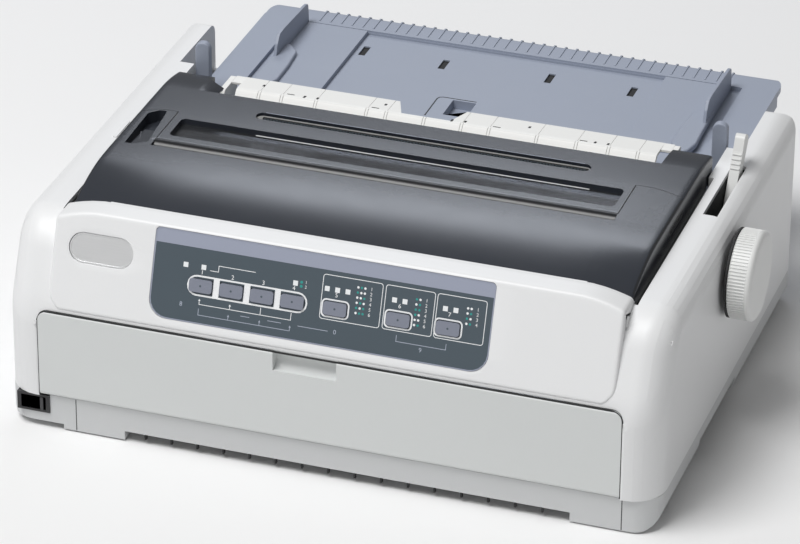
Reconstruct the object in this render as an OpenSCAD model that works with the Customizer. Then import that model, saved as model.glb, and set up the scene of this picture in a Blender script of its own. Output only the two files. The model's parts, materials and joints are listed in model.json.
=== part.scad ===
// Desktop dot matrix printer with a hinged access cover, front door and rear sheet tray.
// Everything is drawn from the middle of the casing, its front face and the table top,
// and in_case() then moves the origin to the bottom middle of the whole printer.

/* [Casing] */
// Width of the casing over its side walls
case_w = 435; // [350:1:540]
// Depth of the casing from the door face to the rear wall
case_d = 328; // [310:1:400]
// Height of the side walls above the table
side_h = 141; // [138:1:150]
// Wall thickness of the moulded shells
wall = 3; // [2.5:0.1:3.4]
// Height of the seam between the base and the upper casing
seam_z = 24.5; // [23:0.5:26]
// Width of each boxed side wall beside the sheet tray
side_w = 21; // [19:0.5:24]
// Radius of the upright front corners
corner_r = 22; // [8:1:26]
// Radius along the top outer edges of the side walls
edge_r = 15; // [6:1:18]

/* [Front] */
// How far the front door stops short of each side
door_inset = 24.5; // [22:0.5:30]
// Height of the front door
door_h = 61.5; // [50:0.5:64]
// Gap around the front door
door_gap = 0.5; // [0.3:0.1:1]
// Radius of the upper corners of the front door
door_corner = 6; // [2:0.5:10]
// Length of the control panel overlay
panel_w = 223.5; // [215:0.5:230]
// Height of the control panel overlay up the sloping brow
panel_h = 57.2; // [54:0.2:58]
// Middle of the control panel, measured from the middle of the casing
panel_x = -7.25; // [-15:0.25:0]
// Width of a key cap
key_w = 15.2; // [12:0.2:16]
// Height of a key cap
key_h = 8.4; // [6:0.2:9]
// Travel of a key
key_travel = 0.8; // [0.4:0.1:0.9]
// Gap around a key cap
key_gap = 0.3; // [0.2:0.05:0.4]

/* [Access cover] */
// How far the cover stops short of each side of the casing
cover_inset = 32; // [31:0.5:36]
// Thickness of the smoked cover
cover_t = 3; // [2:0.2:3.6]
// Height of the crown of the cover above the side walls
cover_rise = 13; // [10:0.5:16]
// Radius of the hinge pegs of the cover
cover_peg_r = 2.5; // [2:0.1:3]

/* [Paper path] */
// Distance of the platen axis behind the door face
platen_y = 158.9; // [155:0.1:162]
// Height of the platen axis
platen_z = 107.7; // [104:0.1:109]
// Radius of the rubber platen
platen_r = 18.5; // [16:0.1:19]
// Radius of the platen shaft
shaft_r = 5; // [4:0.1:6]
// Radius of the platen knob
knob_r = 29.5; // [24:0.5:32]
// Thickness of the platen knob
knob_w = 16.6; // [12:0.1:22]
// Gap between the platen knob and the side wall
knob_gap = 4.3; // [2:0.1:6]
// Height of the top of the sheet tray
tray_z = 118; // [116:0.5:120]
// How far the sheet tray reaches behind the rear wall
tray_back = 93; // [60:1:110]
// Thickness of the sheet tray
tray_t = 4; // [3.2:0.2:5]
// Depth of the outer skirt of the sheet tray
skirt_h = 12; // [8:0.5:12]
// Height of the paper guide fins above the tray
fin_h = 15; // [8:0.5:20]

/* [Mechanism] */
// Module of the feed gears
gear_m = 1.25; // [1.25:0.25:1.25]
// Radius of the carriage shaft
rod_r = 5; // [4:0.1:6]
// Thickness of the metal side frames
frame_t = 2; // [1.5:0.1:2.5]
// Radial running clearance of shafts and pegs
run_gap = 0.05; // [0.03:0.01:0.09]

/* [Hidden] */
$fn = 48;
eps = 0.01;
far = 600;

// Colours of the mouldings and the metal
warm_white = [0.90, 0.90, 0.87];
door_grey = [0.80, 0.81, 0.80];
base_grey = [0.86, 0.86, 0.85];
smoke = [0.20, 0.21, 0.23];
clear_grey = [0.32, 0.34, 0.36, 0.6];
slate = [0.33, 0.37, 0.41];
lavender = [0.62, 0.63, 0.72];
tray_blue = [0.60, 0.65, 0.72];
off_white = [0.93, 0.93, 0.91];
black = [0.10, 0.10, 0.11];
steel = [0.72, 0.73, 0.75];
zinc = [0.62, 0.64, 0.66];
rubber_black = [0.13, 0.13, 0.13];
nylon = [0.88, 0.87, 0.80];
board_green = [0.12, 0.38, 0.22];

// Casing stations, from the middle line, the door face and the table
half_w = case_w/2;
inner_x = half_w - side_w;
cover_x = half_w - cover_inset;
cover_gap = 0.7;
lip_x = cover_x + cover_gap;
brow_x = cover_x + 1.5;
door_x = half_w - door_inset;
door_top = seam_z + door_h;
rear_in = case_d - wall;
foot_z = 1.2;
floor_z = 16;
floor_t = 2.5;

// Sloping brow: its foot, its lean from the horizontal and its length up the slope
brow_foot = [3.5, 92];
brow_lean = 70.65;
brow_top = 62;
brow_end = 41;
brow_h = brow_foot[1] + brow_top*sin(brow_lean);
overlay_t = 1.2;
overlay_lo = 2.8;
panel_corner = 12;
ledge = 5;
board_drop = 8.4;
board_t = 1.6;
tact_top = 6.95;
key_row = 27;
led_row = 39;
led_size = 3.2;
key_at = [-86, -65.6, -45.2, -25, 3.1, 44.5, 76.9];
led_at = [-97.3, -85.3, -24.3, -3.4, 3.4, 10.2, 40.7, 47.5, 73.8, 80.6];
badge_at = [-154.5, 38.6];
badge_w = 43;
badge_h = 19.5;

// Access cover stations
cover_front = brow_end + 0.4;
cover_back = 229;
cover_mid_back = 204;
cover_low = side_h + 10;
cover_crown = side_h + cover_rise;
cover_skirt = side_h - 2;
cover_hinge = [cover_back - 4, side_h - 4];
arm_x = cover_x - 25;
window_x = [-161, 150.5];
window_y = [118.5, 166.5];
glass_x = [-155, 145];
glass_y = [126, 160];
slot_x = [-110.5, 117];
slot_y = [177, 184];

// Side frames and the gear plane outside the left frame
frame_x = cover_x - 10.5;
frame_out = frame_x + frame_t;
frame_front = 60;
frame_back = 262;
chassis_z = 20.5;
chassis_t = 1.5;
deck_z = chassis_z + chassis_t;
gear_x = frame_out + 0.6;
gear_w = 4.4;

// Gear train: teeth, pitch radii and shaft places in the Y-Z plane
platen_n = 40;
idler_n = 30;
pinion_n = 12;
roller_idler_n = 36;
pull_n = 14;
tractor_n = 28;
function pitch(n) = n*gear_m/2;
function along(p, a, d) = [p[0] + d*cos(a), p[1] + d*sin(a)];
platen_at = [platen_y, platen_z];
idler_dir = -100;
idler_at = along(platen_at, idler_dir, pitch(platen_n) + pitch(idler_n));
pinion_dir = -140;
pinion_at = along(idler_at, pinion_dir, pitch(idler_n) + pitch(pinion_n));
roller_idler_dir = 9;
roller_idler_at = along(platen_at, roller_idler_dir, pitch(platen_n) + pitch(roller_idler_n));
pull_dir = 12;
pull_at = along(roller_idler_at, pull_dir, pitch(roller_idler_n) + pitch(pull_n));
tractor_dir = -85;
tractor_at = along(roller_idler_at, tractor_dir, pitch(roller_idler_n) + pitch(tractor_n));
// Turn of a driven gear that puts its gap on the driver's tooth; a is the way from driver to driven
function mesh_turn(driver_turn, n1, n2, a) = a + 180 - (0.5 - (a - driver_turn)*n1/360)*360/n2;
idler_turn = mesh_turn(0, platen_n, idler_n, idler_dir);
pinion_turn = mesh_turn(idler_turn, idler_n, pinion_n, pinion_dir);
roller_idler_turn = mesh_turn(0, platen_n, roller_idler_n, roller_idler_dir);
pull_turn = mesh_turn(roller_idler_turn, roller_idler_n, pull_n, pull_dir);
tractor_turn = mesh_turn(roller_idler_turn, roller_idler_n, tractor_n, tractor_dir);
stud_r = 3;
pull_r = 2.5;
tractor_side = 6;
tractor_bush = 4.3;
tractor_rod_at = [tractor_at[0] + 34, tractor_at[1] - 2];
tractor_rod_r = 3;
lever_at = [198, 90];
lever_x = [inner_x + 1, inner_x + 7.5];
lever_lean = 32;
lever_slot = [167, 240];

// Print carriage
rod_at = [112, 84];
rail_y = 78;
rail_t = 2;
carriage_half = 24;
carriage_top = 98;
belt_y = 92;
belt_z = 58;
belt_h = 6;
belt_t = 1.5;
pulley_r = 10;
pulley_x = frame_x - 25;
head_gap = 1;
nose_tip = platen_y - platen_r - head_gap;

// Sheet tray and its guides
tray_x = inner_x - 10.5;
tray_front = frame_back;
tray_end = case_d + tray_back;
tray_hinge = [frame_back - 7, tray_z - 6];
tray_peg_r = 3;
field_x = tray_x - 24;
field_back = tray_end - 25;
field_drop = 1.5;
guide_x = 152;
ear_x = tray_x - 10;

// Whole printer, for its origin
knob_in = half_w + knob_gap;
knob_end = knob_in + knob_w;
case_mid_x = -(knob_end - half_w)/2;
case_mid_y = -tray_end/2;

// ---- helpers ----
module in_case() { translate([case_mid_x, case_mid_y, 0]) children(); }
module box(lo, hi) { translate(lo) cube(hi - lo); }
// Extrude a Y-Z outline along X
module along_x(x0, x1) { translate([x0, 0, 0]) rotate([90, 0, 90]) linear_extrude(x1 - x0) children(); }
// Extrude an X-Z outline along Y
module along_y(y0, y1) { translate([0, y1, 0]) rotate([90, 0, 0]) linear_extrude(y1 - y0) children(); }
// Round bar along X through the Y-Z point p
module bar_x(r, x0, x1, p) {
  translate([x0, p[0], p[1]]) rotate([0, 90, 0]) cylinder(r=r, h=x1 - x0);
}
module both_sides() { children(); mirror([1, 0, 0]) children(); }
// Frame of the sloping brow: X across, Y up the slope, Z outwards
module on_brow() { translate([0, brow_foot[0], brow_foot[1]]) rotate([brow_lean, 0, 0]) children(); }
function unit(v) = v/norm(v);
// Arc that rounds the corner b between a and c
function corner(a, b, c, r, n) = r <= 0 ? [b] :
  let (u = unit(a - b), v = unit(c - b), h = acos(u*v)/2, d = r/tan(h),
       o = b + unit(u + v)*r/sin(h), s = b + u*d - o, e = b + v*d - o,
       t = atan2(s[0]*e[1] - s[1]*e[0], s*e), k = atan2(s[1], s[0]))
  [for (i = [0:n]) o + r*[cos(k + t*i/n), sin(k + t*i/n)]];
// Outline through [x, y, radius] corners
function rounded(p, n=6) = [for (i = [0:len(p) - 1])
  let (a = p[(i + len(p) - 1)%len(p)], b = p[i], c = p[(i + 1)%len(p)])
  each corner([a[0], a[1]], [b[0], b[1]], [c[0], c[1]], b[2], n)];
module outline(p, n=6) { polygon(rounded(p, n)); }
// Rounded rectangle from lo to hi
module plate2d(lo, hi, r, n=6) {
  outline([[lo[0], lo[1], r], [hi[0], lo[1], r], [hi[0], hi[1], r], [lo[0], hi[1], r]], n);
}
// Involute gear outline with n teeth, a tooth centred on the first axis
function inv(rb, t) = rb*[cos(t) + t*PI/180*sin(t), sin(t) - t*PI/180*cos(t)];
function spin(p, a) = [p[0]*cos(a) - p[1]*sin(a), p[0]*sin(a) + p[1]*cos(a)];
module gear2d(n) {
  m = gear_m;
  rp = pitch(n);
  rb = rp*cos(20);
  ra = rp + 0.9*m;
  rf = rp - 1.2*m;
  play = 0.12;
  t_lo = rf > rb ? sqrt(pow(rf/rb, 2) - 1)*180/PI : 0;
  t_hi = sqrt(pow(ra/rb, 2) - 1)*180/PI;
  t_p = tan(20)*180/PI;
  half = 90/n*(1 - play) + t_p - 20;
  flank = [for (i = [0:2]) spin(inv(rb, t_lo + (t_hi - t_lo)*i/2), -half)];
  root = rf < rb ? [spin([rf, 0], -half)] : [];
  side = concat(root, flank);
  last = len(side) - 1;
  polygon([for (k = [0:n - 1]) each [
    for (q = side) spin(q, k*360/n),
    for (i = [0:last]) spin([side[last - i][0], -side[last - i][1]], k*360/n)]]);
}
// Gear with its axis along X, drawn in the gear plane outside the left frame
module feed_gear(n, p, turn, bore, w=gear_w) {
  translate([-gear_x - w, p[0], p[1]]) rotate([90, 0, 90]) linear_extrude(w) difference() {
    rotate(turn) gear2d(n);
    circle(r=bore);
  }
}

// ---- casing ----
lean_y = 26;
lean_z = 84;
// Casing with its walls moved in by g
module case_form(g) {
  low = g > 0 ? seam_z - 1 : seam_z;
  intersection() {
    along_x(-half_w + g, half_w - g) outline([[g, low, 0], [g, lean_z, 60],
      [lean_y + g, side_h - g, 24], [case_d - g, side_h - g, 8], [case_d - g, low, 0]]);
    along_y(-1, case_d + 1) outline([[-half_w + g, low - 1, 0], [-half_w + g, side_h - g, edge_r - g],
      [half_w - g, side_h - g, edge_r - g], [half_w - g, low - 1, 0]]);
    translate([0, 0, low - 1]) linear_extrude(side_h) outline([[-half_w + g, g, corner_r - g],
      [-half_w + g, case_d - g, 6], [half_w - g, case_d - g, 6], [half_w - g, g, corner_r - g]]);
  }
}
brow_low = door_top + 0.8;
ledge_z = cover_skirt - 0.3;
ledge_y = brow_end + 6;
// Raised brow that carries the control panel, with the ledge for the cover's front edge
module brow_form() {
  intersection() {
    along_x(-brow_x, brow_x) outline([[14, brow_low, 0], [brow_foot[0] - 1.2, brow_low, 1.5],
      [brow_foot[0] + brow_top*cos(brow_lean), brow_h, 6], [brow_end, brow_h, 0],
      [brow_end, ledge_z, 0], [ledge_y, ledge_z, 0], [ledge_y, brow_low, 0]]);
    along_y(-1, ledge_y + 1) plate2d([-brow_x, brow_low - eps], [brow_x, brow_h + 1], 10);
  }
}
module brow_hollow() {
  along_x(-brow_x + wall, brow_x - wall) polygon([[6.4, brow_low + wall],
    [brow_foot[0] + brow_top*cos(brow_lean) + 2.4, brow_h - wall], [brow_end - wall, brow_h - wall],
    [brow_end - wall, ledge_z - wall], [60, ledge_z - wall], [60, 80], [14, 80], [14, brow_low + wall]]);
}
rear_wall_z = 92;
jamb_x = door_x + door_gap;
jamb_d = 30;
peg_lug = 8;
boss_at = [half_w - 9, 40];
boss_back = case_d - 28;
boss_r = 5;
screw_r = 2;
knob_hole_r = shaft_r + 2;
inlet_x = 130;
inlet_z = [30, 51];
inlet_w = 28;
parallel_x = -29;
parallel_w = 66;
usb_x = -91;
usb_w = 13;
port_z = 29;
parallel_h = 14;
usb_h = 12;
vent_from = 20;
vent_pitch = 7;
module case_openings() {
  top = side_h + 1;
  translate([0, 0, side_h - wall - 1]) linear_extrude(wall + 2)
    translate([-lip_x, brow_end]) square([2*lip_x, rear_in - brow_end]);
  box([-inner_x, frame_back, seam_z - 1], [inner_x, rear_in, top]);
  box([-inner_x, rear_in - 1, rear_wall_z], [inner_x, case_d + 1, top]);
}
module side_boxing() {
  // inner lip of the deck beside the cover, and the boxed wall beside the tray
  box([lip_x, brow_end, side_h - 16], [lip_x + wall, frame_back, side_h - 1]);
  box([lip_x, tray_hinge[0] - peg_lug, tray_hinge[1] - peg_lug], [lip_x + wall, frame_back, side_h - 1]);
  box([lip_x, frame_back - wall, tray_hinge[1] - peg_lug], [inner_x + wall, frame_back, side_h - 1]);
  box([inner_x, frame_back - wall, 60], [inner_x + wall, rear_in + 1, side_h - 1]);
  // door jamb and rest for the tray's skirt
  box([jamb_x, 1.5, seam_z], [jamb_x + wall, jamb_d, door_top + 10]);
  box([tray_x - 8, rear_in - 1, rear_wall_z - 1], [inner_x + 1, case_d, tray_z - skirt_h - 0.2]);
  for (y = [boss_at[1], boss_back]) {
    translate([boss_at[0], y, seam_z]) cylinder(r=boss_r, h=36);
    box([boss_at[0] + 3, y - 1.5, seam_z], [half_w - 1, y + 1.5, seam_z + 36]);
  }
}
panel_lo = [panel_x - panel_w/2, overlay_lo];
panel_hi = [panel_x + panel_w/2, overlay_lo + panel_h];
module panel_outline(g) {
  outline([[panel_lo[0] - g, panel_lo[1] - g, panel_corner], [panel_hi[0] + g, panel_lo[1] - g, panel_corner],
    [panel_hi[0] + g, panel_hi[1] + g, 3], [panel_lo[0] - g, panel_hi[1] + g, 3]]);
}
module badge_outline(g) {
  plate2d([badge_at[0] - badge_w/2 - g, badge_at[1] - badge_h/2 - g],
    [badge_at[0] + badge_w/2 + g, badge_at[1] + badge_h/2 + g], badge_h/2 - 0.2 + g, 8);
}
board_boss = [[-100, 5], [85, 5], [-100, 57], [85, 57]];
module upper_case() {
  color(warm_white) in_case() difference() {
    union() {
      difference() {
        union() {
          difference() {
            case_form(0);
            case_form(wall);
            case_openings();
          }
          brow_form();
        }
        brow_hollow();
      }
      intersection() {
        case_form(0);
        both_sides() side_boxing();
      }
      on_brow() for (p = board_boss) translate([p[0], p[1], -board_drop])
        cylinder(r=2.5, h=board_drop - wall + 0.5);
    }
    along_y(-1, 9) outline([[-jamb_x, seam_z - 1, 0], [-jamb_x, brow_low, door_corner + door_gap],
      [jamb_x, brow_low, door_corner + door_gap], [jamb_x, seam_z - 1, 0]]);
    on_brow() {
      translate([0, 0, -overlay_t]) linear_extrude(far/10) panel_outline(0.2);
      translate([0, 0, -wall - 6]) linear_extrude(20)
        plate2d([panel_lo[0] + ledge, 8], [panel_hi[0] - ledge, 54], 2);
      translate([0, 0, -1.5]) linear_extrude(5) badge_outline(0.15);
    }
    both_sides() {
      bar_x(cover_peg_r + run_gap, lip_x - 1, lip_x + wall + 1, cover_hinge);
      bar_x(tray_peg_r + run_gap, lip_x - 1, lip_x + wall + 1, tray_hinge);
      bar_x(door_peg_r + run_gap, jamb_x - 1, jamb_x + wall + 2, door_hinge);
      for (y = [boss_at[1], boss_back]) translate([boss_at[0], y, seam_z - 1]) cylinder(r=screw_r, h=25);
    }
    bar_x(knob_hole_r, half_w - wall - 2, half_w + 2, platen_at);
    box([lever_x[0] - 1.5, lever_slot[0], side_h - 25], [lever_x[1] + 1.4, lever_slot[1], side_h + 1]);
    box([inlet_x - inlet_w/2, rear_in - 1, inlet_z[0]], [inlet_x + inlet_w/2, case_d + 1, inlet_z[1]]);
    box([parallel_x - parallel_w/2, rear_in - 1, port_z], [parallel_x + parallel_w/2, case_d + 1, port_z + parallel_h]);
    box([usb_x - usb_w/2, rear_in - 1, port_z], [usb_x + usb_w/2, case_d + 1, port_z + usb_h]);
    for (i = [0:8]) box([vent_from + i*vent_pitch, rear_in - 1, 58], [vent_from + i*vent_pitch + 3, case_d + 1, 80]);
    for (i = [0:5]) box([-170 + i*vent_pitch, rear_in - 1, 40], [-167 + i*vent_pitch, case_d + 1, 70]);
  }
}
base_front = 2.4;
notch_x = [-136, 161];
notch_z = 7.5;
foot_left = [-178, notch_x[0]];
foot_right = [notch_x[1], half_w];
side_notch = [100, 185];
switch_x = 19.1 - half_w;
switch_w = 22.4;
switch_z = [11.2, 24];
switch_d = 24;
module base_form(g) {
  intersection() {
    translate([0, 0, foot_z + (g > 0 ? floor_z + floor_t - foot_z : 0)]) linear_extrude(seam_z)
      outline([[-half_w + g, base_front + g, corner_r - 4 - g], [-half_w + g, case_d - g, 6],
        [half_w - g, case_d - g, 6], [half_w - g, base_front + g, corner_r - 4 - g]]);
    along_y(0, case_d + 1) outline([[-half_w + g, foot_z, g > 0 ? 0 : 14], [half_w - g, foot_z, g > 0 ? 0 : 14],
      [half_w - g, seam_z + g, 0], [-half_w + g, seam_z + g, 0]]);
  }
}
foot_inset = 3.5;
post_at = [[-120, 75], [150, 75], [-120, 245], [150, 245]];
rubber_at = [[-157, 30], [184, 30], [-157, case_d - 28], [184, case_d - 28]];
rubber_r = 8;
module base_pan() {
  color(base_grey) in_case() difference() {
    union() {
      difference() {
        base_form(0);
        base_form(wall);
        // hollow feet, open inside the base
        for (f = [foot_left, foot_right]) for (y = [[base_front, side_notch[0]], [side_notch[1], case_d]])
          box([f[0] + foot_inset, y[0] + foot_inset, foot_z + wall],
            [min(f[1], half_w - 16) - foot_inset, y[1] - foot_inset, seam_z + 1]);
        for (y = [[base_front + switch_d + 4, side_notch[0]], [side_notch[1], case_d]])
          box([-half_w + 17, y[0] + foot_inset, 4.5 + wall], [foot_left[0] - foot_inset, y[1] - foot_inset, seam_z + 1]);
      }
      for (p = post_at) translate([p[0], p[1], floor_z]) cylinder(r=5, h=chassis_z - floor_z);
      both_sides() for (y = [boss_at[1], boss_back])
        translate([boss_at[0], y, floor_z]) cylinder(r=boss_r + 1.4, h=seam_z - floor_z);
    }
    // arch under the front, open to the floor plate, and the arches in the sides
    box([notch_x[0], -1, -1], [notch_x[1], case_d + 1, notch_z]);
    box([notch_x[0] + foot_inset, base_front + wall, -1], [notch_x[1] - foot_inset, case_d - wall, floor_z]);
    box([-far, side_notch[0], -1], [far, side_notch[1], floor_z]);
    box([-far, -1, -1], [foot_left[0], far, 4.5]);
    both_sides() for (y = [boss_at[1], boss_back]) {
      translate([boss_at[0], y, -1]) cylinder(r=screw_r + 0.3, h=seam_z + 2);
      translate([boss_at[0], y, -1]) cylinder(r=4.6, h=11);
    }
    box([switch_x - switch_w/2, -1, switch_z[0]], [switch_x + switch_w/2, base_front + switch_d, seam_z + 1]);
  }
}
module rubber_feet() {
  color(rubber_black) in_case() for (p = rubber_at) translate([p[0], p[1], 0]) cylinder(r=rubber_r, h=foot_z);
}
door_low = seam_z + door_gap;
door_peg_r = 2;
door_hinge = [wall + 0.4, door_low + 3.4];
scoop_x = [-34, 8.2];
scoop_z = 12.6;
scoop_d = 8;
module front_door() {
  color(door_grey) in_case() {
    difference() {
      union() {
        intersection() {
          along_x(-door_x, door_x) outline([[0, door_low, wall - 0.1], [wall, door_low, 0], [wall, door_top, 0],
            [0, door_top, 1.2]]);
          along_y(-1, wall + 1) outline([[-door_x, door_low - 1, 0], [-door_x, door_top, door_corner],
            [door_x, door_top, door_corner], [door_x, door_low - 1, 0]]);
        }
        box([scoop_x[0] - 4, wall - eps, door_top - scoop_z - 4], [scoop_x[1] + 4, scoop_d + 2, door_top - 0.5]);
        // stiffening flange along the top, either side of the finger scoop
        box([-door_x + 8, wall - eps, door_top - 5], [door_x - 8, wall + 4, door_top - 3]);
        both_sides() box([door_x - 4, 0.6, door_low + 0.9], [door_x, door_hinge[0] + 2.4, door_low + 6]);
      }
      along_x(scoop_x[0], scoop_x[1]) outline([[-1, door_top + 1, 0], [-1, door_top - scoop_z, 0],
        [scoop_d, door_top - scoop_z, 6], [scoop_d, door_top + 1, 0]]);
    }
    both_sides() bar_x(door_peg_r, door_x - eps, jamb_x + wall - 0.2, door_hinge);
  }
}

// ---- access cover ----
// Height of the crowned top of the cover over the station y
function crown(y) = let (m = (cover_front + cover_back)/2, h = (cover_back - cover_front)/2)
  cover_crown - (cover_crown - cover_low)*pow((y - m)/h, 2);
crown_steps = 12;
module cover_form(g) {
  y0 = cover_front + g;
  y1 = cover_back + (g > 0 ? 1 : 0);
  low = g > 0 ? cover_skirt - 1 : cover_skirt;
  intersection() {
    along_x(-cover_x + g, cover_x - g) polygon(concat([[y0, low]],
      [for (i = [0:crown_steps]) let (y = y0 + (y1 - y0)*i/crown_steps) [y, crown(y) - g]], [[y1, low]]));
    along_y(y0 - 1, y1 + 1) outline([[-cover_x + g, low - 1, 0], [-cover_x + g, cover_crown + 0.5 - g, 11 - g],
      [cover_x - g, cover_crown + 0.5 - g, 11 - g], [cover_x - g, low - 1, 0]]);
  }
}
pane_t = 1.5;
pane_z = cover_crown - 1.8;
module access_cover() {
  color(smoke) in_case() {
    difference() {
      union() {
        difference() {
          cover_form(0);
          cover_form(cover_t);
        }
        both_sides() along_x(cover_x - cover_t, cover_x) outline([[cover_hinge[0] - 7, cover_skirt + 1, 0],
          [cover_hinge[0] - 6, cover_hinge[1] - 5, 4.5], [cover_back, cover_hinge[1] - 5, 4.5],
          [cover_back, cover_skirt + 1, 0]]);
      }
      box([-arm_x, cover_mid_back, 0], [arm_x, far, far]);
      box([window_x[0], window_y[0], pane_z], [window_x[1], window_y[1], far]);
      box([glass_x[0], glass_y[0], 0], [glass_x[1], glass_y[1], far]);
      box([slot_x[0], slot_y[0], 0], [slot_x[1], slot_y[1], far]);
    }
    both_sides() bar_x(cover_peg_r, cover_x - eps, lip_x + wall - 0.2, cover_hinge);
  }
}
module cover_window() {
  color(clear_grey) in_case() translate([0, 0, pane_z]) linear_extrude(pane_t)
    plate2d([window_x[0] + 0.3, window_y[0] + 0.3], [window_x[1] - 0.3, window_y[1] - 0.3], 1.5, 3);
}

// ---- control panel ----
module panel_overlay() {
  color(slate) in_case() on_brow() translate([0, 0, -overlay_t]) linear_extrude(overlay_t) difference() {
    panel_outline(0);
    for (x = key_at) translate([x, key_row]) square([key_w + 2*key_gap, key_h + 2*key_gap], center=true);
    for (x = led_at) translate([x, led_row]) square(led_size, center=true);
  }
}
module panel_board() {
  color(board_green) in_case() on_brow() {
    translate([panel_lo[0] + 9, 3, -board_drop - board_t]) cube([panel_w - 18, 55, board_t]);
    for (x = key_at) translate([x - 3, key_row - 3, -board_drop]) cube([6, 6, board_drop - tact_top]);
    for (x = led_at) translate([x, led_row, -board_drop]) cylinder(r=1.4, h=board_drop - wall - 0.2);
  }
}
// Key cap with its flange under the overlay; n counts from the left
module key(n) {
  color(lavender) in_case() on_brow() translate([key_at[n - 1], key_row, 0]) {
    translate([0, 0, -4]) linear_extrude(5.3) plate2d([-key_w/2, -key_h/2], [key_w/2, key_h/2], 1.6, 4);
    translate([-key_w/2 - 1.1, -key_h/2 - 1, -overlay_t - 1.3]) cube([key_w + 2.2, key_h + 2, 1]);
    translate([0, 0, -tact_top + key_travel + 0.1]) cylinder(r=2, h=tact_top - key_travel - 3);
  }
}
module key_1() { key(1); }
module key_2() { key(2); }
module key_3() { key(3); }
module key_4() { key(4); }
module key_5() { key(5); }
module key_6() { key(6); }
module key_7() { key(7); }
module led_lenses() {
  color("white") in_case() on_brow() for (x = led_at)
    translate([x - led_size/2, led_row - led_size/2, -wall]) cube([led_size, led_size, wall + 0.1]);
}
module badge_plate() {
  color("silver") in_case() on_brow() translate([0, 0, -1.5]) linear_extrude(0.9) badge_outline(0);
}

// ---- power switch ----
rocker_tilt = 8;
rocker_at = [switch_x, 6.2];
rocker_w = 7.6;
module switch_housing() {
  color(black) in_case() difference() {
    box([switch_x - switch_w/2, base_front - 0.9, switch_z[0]],
      [switch_x + switch_w/2, base_front + switch_d - 0.4, switch_z[1]]);
    box([switch_x - rocker_w - 0.9, -1, switch_z[0] + 1.7], [switch_x + rocker_w + 0.9, 18, switch_z[1] - 1.7]);
    translate([rocker_at[0], rocker_at[1], switch_z[0] + 0.8])
      cylinder(r=1.2 + run_gap, h=switch_z[1] - switch_z[0] - 1.6);
  }
}
module switch_rocker() {
  lo = switch_z[0] + 1.9;
  hi = switch_z[1] - 1.9;
  color(black) in_case() translate([rocker_at[0], rocker_at[1], 0]) rotate(-rocker_tilt) {
    translate([0, 0, lo]) linear_extrude(hi - lo) polygon([[-rocker_w, -4.4], [0, -3.2], [rocker_w, -4.4],
      [rocker_w - 1, 2], [0, 5], [-rocker_w + 1, 2]]);
    translate([0, 0, switch_z[0] + 0.9]) cylinder(r=1.2, h=switch_z[1] - switch_z[0] - 1.8);
  }
}

// ---- chassis and platen ----
motor_at = [pulley_x, belt_y];
space_r = 20;
post_r = 2.5;
module chassis_plate() {
  color(zinc) in_case() {
    box([-frame_out, frame_front, chassis_z], [frame_out, frame_back, deck_z]);
    translate([-motor_at[0], motor_at[1], deck_z - eps]) cylinder(r=6, h=34);
    translate([-motor_at[0], motor_at[1], deck_z]) cylinder(r=post_r, h=belt_z + belt_h + 4 - deck_z);
  }
}
bush_r = 8;
module frame_plate() {
  difference() {
    along_x(frame_x, frame_out) polygon([[frame_front, deck_z], [frame_front, 98], [95, 104], [140, 134],
      [180, 134], [215, 132], [243, 132], [250, 118], [frame_back, 110], [frame_back, deck_z]]);
    bar_x(bush_r + run_gap, frame_x - 1, frame_out + 1, platen_at);
    bar_x(rod_r + run_gap, frame_x - 1, frame_out + 1, rod_at);
    bar_x(pull_r + run_gap, frame_x - 1, frame_out + 1, pull_at);
    bar_x(tractor_bush, frame_x - 1, frame_out + 1, tractor_at);
    bar_x(tractor_rod_r + run_gap, frame_x - 1, frame_out + 1, tractor_rod_at);
    box([0, 180, 36], [far, 235, 60]);
  }
}
module side_frame_left() {
  color(zinc) in_case() {
    difference() {
      mirror([1, 0, 0]) frame_plate();
      bar_x(9, -frame_out - 1, -frame_x + 1, pinion_at);
    }
    for (p = [idler_at, roller_idler_at]) bar_x(stud_r, -gear_x - gear_w - 0.4, -frame_out + eps, p);
  }
}
module side_frame_right() {
  color(zinc) in_case() {
    frame_plate();
    bar_x(stud_r, frame_out - eps, lever_x[1] + 1, lever_at);
  }
}
module platen_shaft() {
  color(steel) in_case() bar_x(shaft_r, -gear_x - gear_w - 2, knob_end - 2.4, platen_at);
}
roller_half = frame_x - 7;
module platen_roller() {
  color(rubber_black) in_case() difference() {
    bar_x(platen_r, -roller_half, roller_half, platen_at);
    bar_x(shaft_r, -roller_half - 1, roller_half + 1, platen_at);
  }
}
module platen_knob() {
  color(off_white) in_case() translate([knob_in, platen_at[0], platen_at[1]]) rotate([0, 90, 0])
    rotate_extrude($fn=64) polygon(rounded([[shaft_r, 0, 0], [knob_r - 3, 0, 0], [knob_r, 1.5, 1],
      [knob_r, knob_w - 2.2, 0], [knob_r - 1.8, knob_w - 1, 1.5], [12, knob_w, 6], [0, knob_w, 0],
      [0, knob_w - 2.4, 0], [shaft_r, knob_w - 2.4, 0]]));
}
module platen_gear() { color(nylon) in_case() feed_gear(platen_n, platen_at, 0, shaft_r + eps); }
module platen_bushes() {
  color(nylon) in_case() both_sides() difference() {
    union() {
      bar_x(bush_r + 2, frame_x - 3, frame_x, platen_at);
      bar_x(bush_r, frame_x - 1, frame_out + 0.4, platen_at);
    }
    bar_x(shaft_r + run_gap, frame_x - 4, frame_out + 1, platen_at);
  }
}
feed_r = 21;
module feed_motor() {
  color(steel) in_case() difference() {
    union() {
      bar_x(feed_r, -frame_x, -frame_x + 40, pinion_at);
      bar_x(8, -frame_out, -frame_x + eps, pinion_at);
      box([-frame_x, pinion_at[0] - 14, deck_z], [-frame_x + 3, pinion_at[0] + 14, pinion_at[1]]);
    }
    bar_x(post_r + run_gap, -frame_out - 1, -frame_x + 12, pinion_at);
  }
}
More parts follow.
